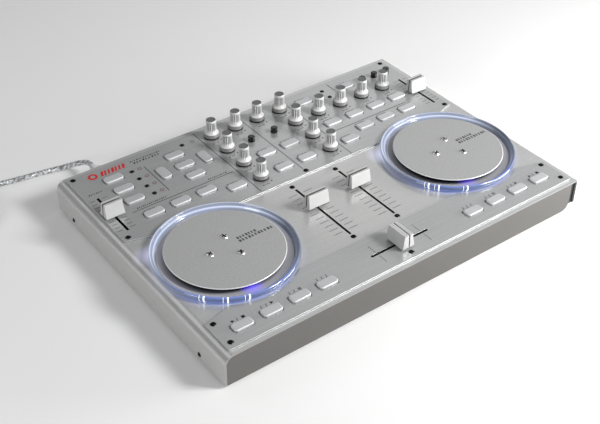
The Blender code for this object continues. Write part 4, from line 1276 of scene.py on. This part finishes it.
def add_black_marks(bm):
    """The dividing lines, the faders' scales, and the marks beside the knobs and keys."""
    cover_top = high_of("top_cover")[2]
    for start, end in PRINTED_LINES:
        add_line(bm, start, end, LINE_WIDTH)
    for _, side in SIDES:
        add_slot_ticks(bm, side * CHANNEL_SLOT_X, CHANNEL_TICKS, 3.8, 12.2, cover_top)
        add_slot_ticks(bm, side * TEMPO_SLOT_X, TEMPO_TICKS, 3.6, 8.4, PLATE_TOP)
        cross = side * 24.0
        for near, far in ((2.6, 12.0), (-2.6, -12.0)):
            add_line(bm, (cross, CROSS_SLOT_Y + near), (cross, CROSS_SLOT_Y + far), 0.35)
    for name in KNOBS:
        x, y = centre_of(name)
        add_prism(bm, circle((x + 4.9, y - 9.3), 0.8, 12), *ink_heights(PLATE_TOP))
        add_dashes(bm, (x - 6.0, y - 12.2), 8.0, 1.2, 5)
    for number, name in enumerate(TRANSPORT_KEYS):
        x, y = centre_of(name)
        add_icons(bm, x - 5.0, y + 6.2, TRANSPORT_ICONS[number % 4])
    for level, _, _ in KEY_GROUPS.values():
        for x, y in level:
            if x != LEFT_COLUMN:
                add_dashes(bm, (x - 6.5, y + 5.8), 11.0, 1.4, 7)
    for label in LABELS:
        add_dashes(bm, *label)


def make_marks():
    """Everything printed in black, brown and red on the plates and the cover."""
    black = bmesh.new()
    add_black_marks(black)
    add_piece("black_print", black, "root", (), ("ink",))
    brown = bmesh.new()
    for x, y in COLUMN_LAMPS:
        add_printed_ring(brown, (x + 7.9, y + 0.4), 1.9, 0.6)
    add_printed_ring(brown, (-58.2, 117.5), 1.9, 0.6)
    add_piece("brown_print", brown, "root", (), ("brown",))
    red = bmesh.new()
    add_printed_ring(red, (-159.6, 121.0), 4.4, 2.1)
    add_dashes(red, (-153.0, 117.3), 25.0, 6.8, 7, PLATE_TOP, 0.35, 0.5)
    add_piece("red_print", red, "root", (), ("red",))


# Knobs


def knob_material(level, spoke):
    """The index of a knob face's material, by its level and its place round the knob."""
    # Painted shade: black on the hidden shaft and in a band round the skirt's foot.
    if level < 4:
        return 3
    if level < 6:
        return 1
    if level > 15:
        return 2
    if level in (11, 12, 13) and spoke % FLUTE_STEPS in (2, 3):
        return 4
    return 0


def make_knob(node):
    """A knob with a silver skirt, black at its foot as painted shade, a fluted white body with painted shade
    in the flutes, and a grey top.
    """
    centre = centre_of(node)
    spokes = FLUTES * FLUTE_STEPS
    loops = []
    for radius, z, share in KNOB_LEVELS:
        loop = []
        for i in range(spokes):
            wave = max(0.0, math.sin(math.pi * (i % FLUTE_STEPS) / FLUTE_STEPS)) ** 1.3
            reach = radius - FLUTE_DEPTH * share * wave
            angle = 2 * math.pi * i / spokes
            loop.append((centre[0] + reach * math.cos(angle), centre[1] + reach * math.sin(angle), z))
        loops.append(loop)
    bm = bmesh.new()
    bottom, top, *walls = add_skin(bm, loops)
    bottom.material_index = 1
    top.material_index = 2
    for number, face in enumerate(walls):
        face.material_index = knob_material(*divmod(number, spokes))
    slots = ("white", "skirt", "knob_top", "black", "flute")
    add_piece(node + "_cap", bm, node, [node], slots, (*centre, PLATE_TOP), 50.0)


def make_trim(node):
    """A small black waisted knob with a slot across its top."""
    centre = centre_of(node)
    top = high_of(node)[2]
    profile = [(0, top), (2.3, top), (3.0, top - 0.2), (3.3, top - 0.7), (3.3, top - 1.5), (2.7, top - 2.1)]
    profile += [(2.7, top - 3.2), (3.3, top - 4.0), (3.3, SKIRT_FOOT), (1.6, SKIRT_FOOT)]
    profile += [(1.6, SHAFT_FOOT), (0, SHAFT_FOOT)]
    bm = bmesh.new()
    add_turned(bm, profile, centre, 48)
    add_piece(node + "_cap", bm, node, [node], ("lamp",), (*centre, PLATE_TOP), 50.0)


# Keys


def add_key(bm, x, y, upright):
    """One key: plunger, flange under the plate, and a cap with rounded edges, which are painted lighter as a
    highlight.
    """
    half = key_half(upright)
    levels = (
        ((2.4, 2.4), 0.4, 25.0),
        ((2.4, 2.4), 0.4, 29.9),
        (grown(half, 1.1), KEY_CORNER, 29.9),
        (grown(half, 1.1), KEY_CORNER, 31.2),
        (half, KEY_CORNER, 31.2),
        (half, KEY_CORNER, KEY_TOP - 0.9),
        (grown(half, -0.14), KEY_CORNER, KEY_TOP - 0.45),
        (grown(half, -0.5), KEY_CORNER, KEY_TOP - 0.12),
        (grown(half, -1.0), KEY_CORNER - 0.2, KEY_TOP),
    )
    faces = add_skin(bm, [at_height(rounded_rect(size, corner), (x, y), z) for size, corner, z in levels])
    # Painted highlight: the rounded upper edges take the lighter second material.
    for face in faces[2:]:
        if KEY_TOP - 1.6 < face.calc_center_median().z < KEY_TOP - 0.1:
            face.material_index = 1


def make_keys():
    for node in (*TRANSPORT_KEYS, *KEY_GROUPS):
        bm = bmesh.new()
        places = key_places(node)
        for place in places:
            add_key(bm, *place)
        bars = KEY_GROUPS[node][2] if node in KEY_GROUPS else ()
        for number, (x, y) in enumerate(bars):
            add_box(bm, x, y, (25.2 + 0.1 * number, 27.0 - 0.1 * number))
        origin = (places[0][0], places[0][1], KEY_TOP)
        add_piece(node + "_caps", bm, node, [node], ("key", "key_edge_highlight"), origin, 40.0)


# Faders


def cap_levels(half, lean, hollow):
    """Half sizes of a fader cap at each height; a hollow cap's long faces are concave."""
    across, along = half
    levels = []
    for step in range(9):
        part = step / 8
        drawn = 1.0 - (1.0 - part) ** 2.2 if hollow else part
        levels.append((across - 0.5 * part, along - lean * drawn, CAP_BASE + (CAP_TOP - CAP_BASE) * part))
    return levels


def cap_cuts(across, slit, wide):
    """The boxes cut out of a cap: along its top, and down each end; wide caps have a broad groove."""
    half, depth = (GROOVE_HALF, GROOVE_DEPTH) if wide else (SLIT_HALF, SLIT_DEPTH)
    boxes = [((-across - 1, across + 1), (slit - half, slit + half), (CAP_TOP - depth, CAP_TOP + 1))]
    for side in (-1, 1):
        reach = tuple(sorted((side * (across - 0.25 - SLIT_DEPTH), side * (across + 1))))
        boxes.append((reach, (slit - SLIT_HALF, slit + SLIT_HALF), (CAP_BASE - 1, CAP_TOP - 0.5)))
    return boxes


def make_fader(node, kind):
    """A white cap with a groove across its top and down its ends, on a dark stem."""
    half, lean, slit = CAPS[kind]
    centre = centre_of(node)
    turned = kind == "cross"
    loops = []
    for a, b, z in cap_levels(half, lean, kind == "tempo"):
        size = (b, a) if turned else (a, b)
        loops.append(at_height(rounded_rect(size, 0.5, 2), centre, z))
    bm = bmesh.new()
    add_skin(bm, loops)
    cap = new_object(node + "_cap", bm)
    for x, y, z in cap_cuts(half[0], slit, not turned):
        x, y = (y, x) if turned else (x, y)
        tool = bmesh.new()
        add_box(tool, (centre[0] + x[0], centre[0] + x[1]), (centre[1] + y[0], centre[1] + y[1]), z)
        carve(cap, tool)
    soften(cap, 0.22, 2, 40.0)
    origin = (*centre, CAP_BASE)
    cap = add_piece(node + "_cap", cap, node, [node], ("cap", "groove"), origin, 40.0)
    shade_grooves(cap, slit, turned)
    stem = STEM_HALF[::-1] if turned else STEM_HALF
    bm = bmesh.new()
    add_box(bm, slot_span(centre[0], stem[0]), slot_span(centre[1], stem[1]), (STEM_FOOT, CAP_BASE + 0.5))
    add_piece(node + "_stem", bm, node, (), ("satin_black",))


def shade_grooves(cap, slit, turned):
    """Painted shade: the dark material for the faces inside a cap's groove and slits."""
    for face in cap.data.polygons:
        along = face.center.x if turned else face.center.y
        inside = abs(along / MM - slit) < GROOVE_HALF + 0.02
        sunk = 0.3 < face.center.z / MM < CAP_TOP - CAP_BASE - 0.3
        if inside and sunk:
            face.material_index = 1


def make_faders():
    for side, _ in SIDES:
        make_fader(f"{side}_channel_fader", "channel")
        make_fader(f"{side}_tempo_fader", "tempo")
    make_fader("crossfader", "cross")


def dress_nodes():
    """Materials for the CAD nodes that stay in view."""
    dressed = {"circuit_board": "board", "usb_socket": "steel"}
    for side, _ in SIDES:
        dressed[f"{side}_jog_spindle"] = "steel"
    for node, key in dressed.items():
        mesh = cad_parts[node].data
        mesh.materials.clear()
        mesh.materials.append(MATERIAL[key])


MATERIAL = make_materials()
make_camera()
make_light()
make_floor()
make_cable()
make_cover()
make_tray()
make_rail()
make_feet()
make_plates()
make_jogs()
make_screws()
make_lamps()
make_marks()
for knob in KNOBS:
    make_knob(knob)
for trim_knob in TRIMS:
    make_trim(trim_knob)
make_keys()
make_faders()
dress_nodes()
